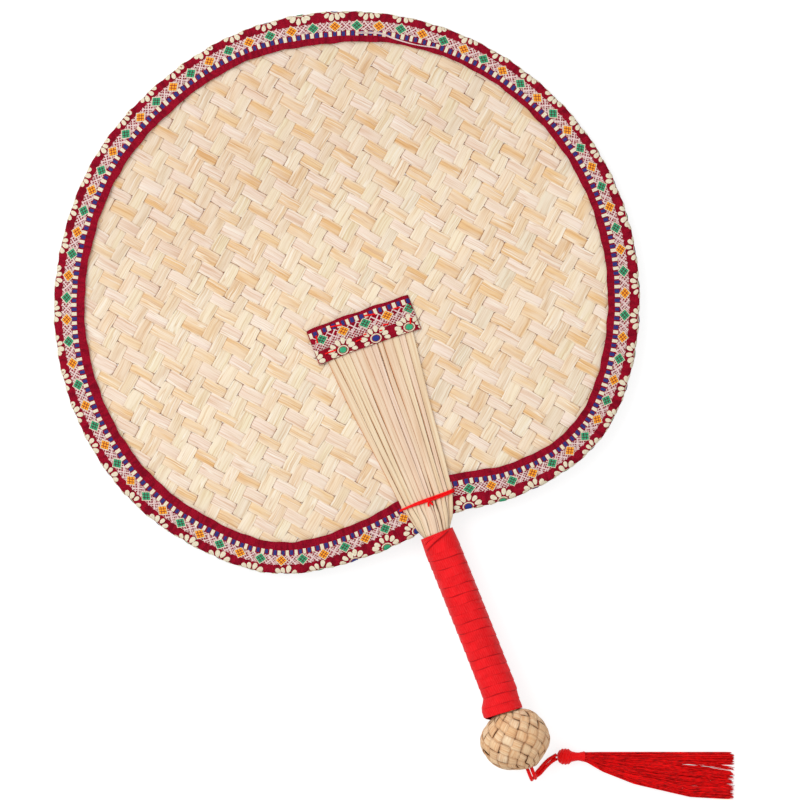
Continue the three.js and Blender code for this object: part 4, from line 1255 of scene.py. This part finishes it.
# %% Dye the satin
def tape_finish():
    finish = Finish("red satin tape", Roughness=0.42, Specular_IOR_Level=0.09)
    cloudy = finish.noise((0.16, 1.6, 3.0), 3.0)
    fine = finish.noise((2.0, 6.0, 3.0), 3.0)
    slant = finish.math("ADD", finish.times(finish.along, 1.1), finish.times(finish.across, 9))
    twill = finish.wave(slant, 1.15)
    colour = finish.ramp(cloudy, (0.3, dye(228, 8, 18)), (0.7, dye(255, 18, 28)))
    colour = finish.tinted(colour, (255, 54, 58), fine, (0.42, 0.0), (0.72, 0.35))
    colour = finish.tinted(colour, (255, 92, 92), twill, (0.2, 0.0), (0.9, 0.16))
    # Painted shade: a thin deep red line just under the edge of the turn above, where it laps this
    # turn.
    painted_lap_shade = finish.ramp(finish.across, (0.0, 1.0), (0.485, 1.0), (0.535, 0.0))
    colour = finish.mix(finish.times(painted_lap_shade, 0.6), colour, dye(160, 4, 16))
    ribs = finish.times(finish.wave(finish.along, 0.55), 0.35)
    return finish.made(colour, finish.math("ADD", ribs, fine), 0.0003)


satin_red = tape_finish()
print("Satin for the tape")

# %% Wind the tape
TAPE_TURNS, TAPE_WIDTH, TAPE_CLOTH = 19, 10.0, 0.22
TAPE_INNER, TAPE_STEP = 8.75, 0.55
TAPE_STEPS_IN_A_TURN, TAPE_POINTS_ACROSS = 44, 8
FLARE_START, FLARE_RUN = 94.5, 7.5
LIP_START, LIP_RUN = 104.6, 2.8
tape_pitch = (HANDLE_LENGTH - TAPE_WIDTH) / (TAPE_TURNS - 1)


def tape_wobble(turn, angle):
    """No turn lies quite straight, except where the tape starts and ends."""
    wobble = 0.3 * np.arcsin(np.sin(3 * angle + 0.16 * turn + 0.6)) / (math.pi / 2)
    wobble += 0.2 * np.sin(1.7 * turn) * np.sin(angle) + 0.12 * np.sin(5 * angle - 2.3 * turn)
    return wobble * np.clip(turn - 0.5, 0, 1) * np.clip(TAPE_TURNS - 0.5 - turn, 0, 1)


def tape_flare(down, angle):
    """The last turns widen towards the ball, most of all on the left, and their lip turns in."""
    below = np.clip((down - FLARE_START) / FLARE_RUN, 0, 1)
    below = below * below * (3 - 2 * below)
    lip = np.clip((down - LIP_START) / LIP_RUN, 0, 1) ** 2
    left = 0.9 * np.cos(angle) + 2.3 * np.clip(np.cos(angle), 0, 1) ** 2
    return below * left * (1 - 0.7 * lip) - lip


def wind_tape():
    turn = np.linspace(0, TAPE_TURNS, (TAPE_TURNS + 1) * TAPE_STEPS_IN_A_TURN)[:, None]
    angle = turn * 2 * math.pi
    shares = np.linspace(0, 1, TAPE_POINTS_ACROSS)
    start = -HANDLE_START - tape_pitch * np.clip(turn - 0.5, 0, TAPE_TURNS - 1)
    y = start - TAPE_WIDTH * shares + tape_wobble(turn, angle)
    facets = 0.16 * np.cos(5 * angle + 0.9 + 0.16 * turn) + 0.05 * np.cos(9 * angle + 0.3 * turn)
    radius = TAPE_INNER + TAPE_STEP * shares + facets + tape_flare(-y, angle)
    reach = np.concatenate((radius + TAPE_CLOTH, radius[:, ::-1]), 1)
    y = np.concatenate((y, y[:, ::-1]), 1)
    rings = np.stack((-reach * np.cos(angle), y, reach * np.sin(angle)), -1)
    # The first turn lies under no other, so it is kept out of the painted lap shade.
    bare = np.clip((1 - turn) * 8, 0, 1) * 0.6
    across = np.concatenate((shares, shares[::-1])) * (1 - bare) + bare
    bundle = Bundle()
    bundle.skin(rings, angle * TAPE_INNER, across, np.floor(turn) * 0.37 % 1)
    return bundle


tape = add_piece("wound_tape", wind_tape(), satin_red, nodes=("handle_tape",),
                 crease=60)

# %% [markdown]
# The tape starts with its end folded over at a slant, which shows as a diagonal flap at the top.

# %% Fold the tape's first end
TUCK_FOLDS = [
    # left and right end of the fold on the fan, and the flap's width
    ((-8.3, -12.3), (6.3, -5.9), 3.4), ((-8.0, -9.2), (-1.6, -6.3), 1.5)]
TUCK_SECTION = np.array([
    # share of the flap's width, and height over the tape
    (-0.12, 0.15), (0.05, 0.75), (0.5, 0.7), (1.0, 0.1),
    (1.0, -0.3), (0.5, -0.3), (0.05, -0.3), (-0.12, -0.3)])
TUCK_REACH, TUCK_STEPS = 9.35, 26


def lay_tuck():
    bundle = Bundle()
    share = np.linspace(0, 1, TUCK_STEPS)[:, None]
    for start, end, flap in TUCK_FOLDS:
        start, end = np.array(start), np.array(end)
        ahead = (end - start) / np.linalg.norm(end - start)
        offset = TUCK_SECTION[:, 0] * flap
        away = 1 + TUCK_SECTION[:, 1] * np.sin(math.pi * share) ** 0.35 / TUCK_REACH
        x = start[0] + (end[0] - start[0]) * share - ahead[1] * offset
        y = start[1] + (end[1] - start[1]) * share + ahead[0] * offset + 0.3 * np.sin(share * 5)
        x = np.clip(x, -0.97 * TUCK_REACH, 0.97 * TUCK_REACH)
        rings = np.stack((x * away, np.minimum(y, -HANDLE_START - 0.2),
                          np.sqrt(TUCK_REACH ** 2 - x * x) * away), -1)
        # Along its fold the flap takes the tape's painted lap shade; the rest of it stays bright.
        bundle.skin(rings, share * 16, np.where(offset < 0.2, 0.47, 0.8), 0.4)
    return bundle


add_piece("tape_tuck", lay_tuck(), satin_red, crease=40)

# %% [markdown]
# ## The wood inside the handle
# The core keeps its CAD shape, because it is a plain turned stick that the tape hides. It gets
# bare wood with a lengthwise grain.

# %% Finish the core
core = Finish("bare wood", Roughness=0.6)
coordinates = core.node("TexCoord").outputs["Object"]
wood_grain = core.noise((900, 40, 900), 4.0, at=coordinates)
wood_colour = core.ramp(wood_grain, (0.3, dye(176, 136, 86)), (0.7, dye(220, 186, 136)))
core_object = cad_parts["handle_core"]
core_object.data.materials.clear()
core_object.data.materials.append(core.made(wood_colour, wood_grain, 0.0003, 0.4))
print("The core has", len(core_object.data.polygons), "faces")

# %% [markdown]
# ## The plaited ball
# The ball is plaited from flat straw: fourteen strips wind one way and fourteen the other, over
# and under in turn. Both families run from the stick's seat at the top to the cord's mouth. The
# real ball is no turned form, so its belly leans a little to the left and its strips wander.
# Painted shade darkens the straw where a strip dives and along its edges. A lining of straw,
# tinted with the same painted shade, lies under the strips, so that the gaps between them look
# brown and not black.

# %% Colour the straw
def straw_finish():
    finish = Finish("plaited straw", Roughness=0.62, Specular_IOR_Level=0.3)
    streaks = finish.noise((0.12, 2.4, 29.0), 4.0)
    tone = finish.ramp(finish.chance, (0.0, dye(248, 214, 174)), (0.5, dye(253, 230, 200)),
                       (1.0, dye(242, 202, 158)))
    grained = finish.ramp(streaks, (0.33, dye(226, 180, 130)), (0.62, dye(255, 250, 238)))
    colour = finish.mix(0.7, tone, grained, "MULTIPLY")
    # Painted shade: a brown tint where the shade attribute is high.
    return finish.made(finish.painted_shade(colour, (126, 58, 12)), streaks, 0.0004, 0.6)


plaited_straw = straw_finish()
print("Straw that darkens where it dives")

# %% Plait the ball
SKIN_RADIUS, SKIN_HALF_LENGTH = 16.7, 15.8
SEAT_ANGLE, MOUTH_ANGLE = math.radians(14), math.radians(10)
BALL_CENTRE = -121.49
BALL_PLAITS, BALL_ROWS = 14, 11
BELLY_SHIFT = -1.5
CORNER_TURN = math.radians(21.5)
STRAW_THICKNESS, STRAW_DEPTH, STRAW_FLATNESS = 0.32, 0.66, 2.0
STRAW_SIDES = there_and_back(-1, -0.55, 0.55, 1)
STRAW_FACES = np.repeat((0.5, -0.5), 4)
STRAW_RINGS = np.linspace(0.05, BALL_ROWS - 0.05, BALL_ROWS * 5)[:, None]
STRAW_AT_EDGE = np.abs(STRAW_SIDES) > 0.9
LINING_SIDES, LINING_LIFTS, LINING_SHADE = 56, (-0.92, -1.3), 0.25
LINING_ROWS = np.linspace(0.35, BALL_ROWS - 0.25, 26)
ball_chance = np.random.default_rng(5)


def ball_profile(row):
    """Distance from the axis, and place along it, from the seat (row 0) to the mouth."""
    slope = SEAT_ANGLE + row / BALL_ROWS * (math.pi - SEAT_ANGLE - MOUTH_ANGLE)
    bulge = 1 - 0.02 * np.sin(2 * slope) ** 2
    return (SKIN_RADIUS * np.sin(slope) * bulge,
            BALL_CENTRE + SKIN_HALF_LENGTH * np.cos(slope) * bulge)


def ball_point(turn, row, lift):
    """A place on the ball: turn about its axis, row from its seat, and lift off its skin."""
    reach, y = ball_profile(row)
    ahead_reach, ahead_y = ball_profile(row + 0.01)
    outward, onward = ahead_reach - reach, ahead_y - y
    length = np.hypot(outward, onward)
    reach = reach - onward / length * lift
    x, rise = reach * np.sin(turn), y + outward / length * lift - BALL_CENTRE
    corner = np.arctan2(rise, x) + CORNER_TURN
    swell = 1.025 + 0.028 * np.cos(2 * corner) + 0.02 * np.cos(6 * corner)
    belly = BELLY_SHIFT * np.sqrt(np.sin(math.pi * np.clip(row / BALL_ROWS, 0, 1)))
    return np.stack((x * swell + belly, BALL_CENTRE + rise * swell, reach * np.cos(turn)), -1)


def lay_straw(bundle, way, number):
    row = STRAW_RINGS
    wave = np.cos(math.pi * row) * way
    height = STRAW_DEPTH * np.tanh(STRAW_FLATNESS * wave) / math.tanh(STRAW_FLATNESS)
    pinch = 1 - 0.15 * np.exp(-(wave / 0.3) ** 2) * ball_chance.uniform(0.5, 1.2, row.shape)
    half_width = 0.5 * ball_chance.uniform(0.94, 1.06) * pinch
    turn = (number + way * row / 2) * 2 * math.pi / BALL_PLAITS
    turn = turn + 0.035 * np.sin(row * 1.1 + 9 * ball_chance.random())
    turn = turn + STRAW_SIDES * half_width * math.pi / BALL_PLAITS
    own_row = np.clip(row - way * STRAW_SIDES * half_width, 0, BALL_ROWS)
    tip = 0.16 * np.sin(row * 2.1 + 9 * ball_chance.random())
    curl = np.where(STRAW_AT_EDGE, 0.02, 0.06) + STRAW_SIDES * tip
    rings = ball_point(turn, own_row, height + curl + STRAW_FACES * STRAW_THICKNESS)
    # Painted shade: the straw darkens where it dives under a crossing strip, and every edge gets a
    # painted shade outline.
    depth = np.clip((0.12 - height) / 0.5, 0, 1)
    dark = depth * np.where(STRAW_AT_EDGE, 0.7, 0.6) + np.where(STRAW_AT_EDGE, 0.3, 0)
    bundle.skin(rings, row * 4.4, STRAW_SIDES * 2.2, ball_chance.random(), np.clip(dark, 0, 1))


ball = Bundle()
for way in (1, -1):
    for number in range(BALL_PLAITS):
        lay_straw(ball, way, number)
# The lining is straw tinted with painted shade, so that the gaps between the strips look brown.
lining = ball_point(around(LINING_SIDES)[:, None], there_and_back(*LINING_ROWS),
                    np.repeat(LINING_LIFTS, len(LINING_ROWS)))
ball.skin(lining, chance=0.5, shade=LINING_SHADE, looped=True)
add_piece("plaited_ball", ball, plaited_straw, nodes=("straw_ball",))
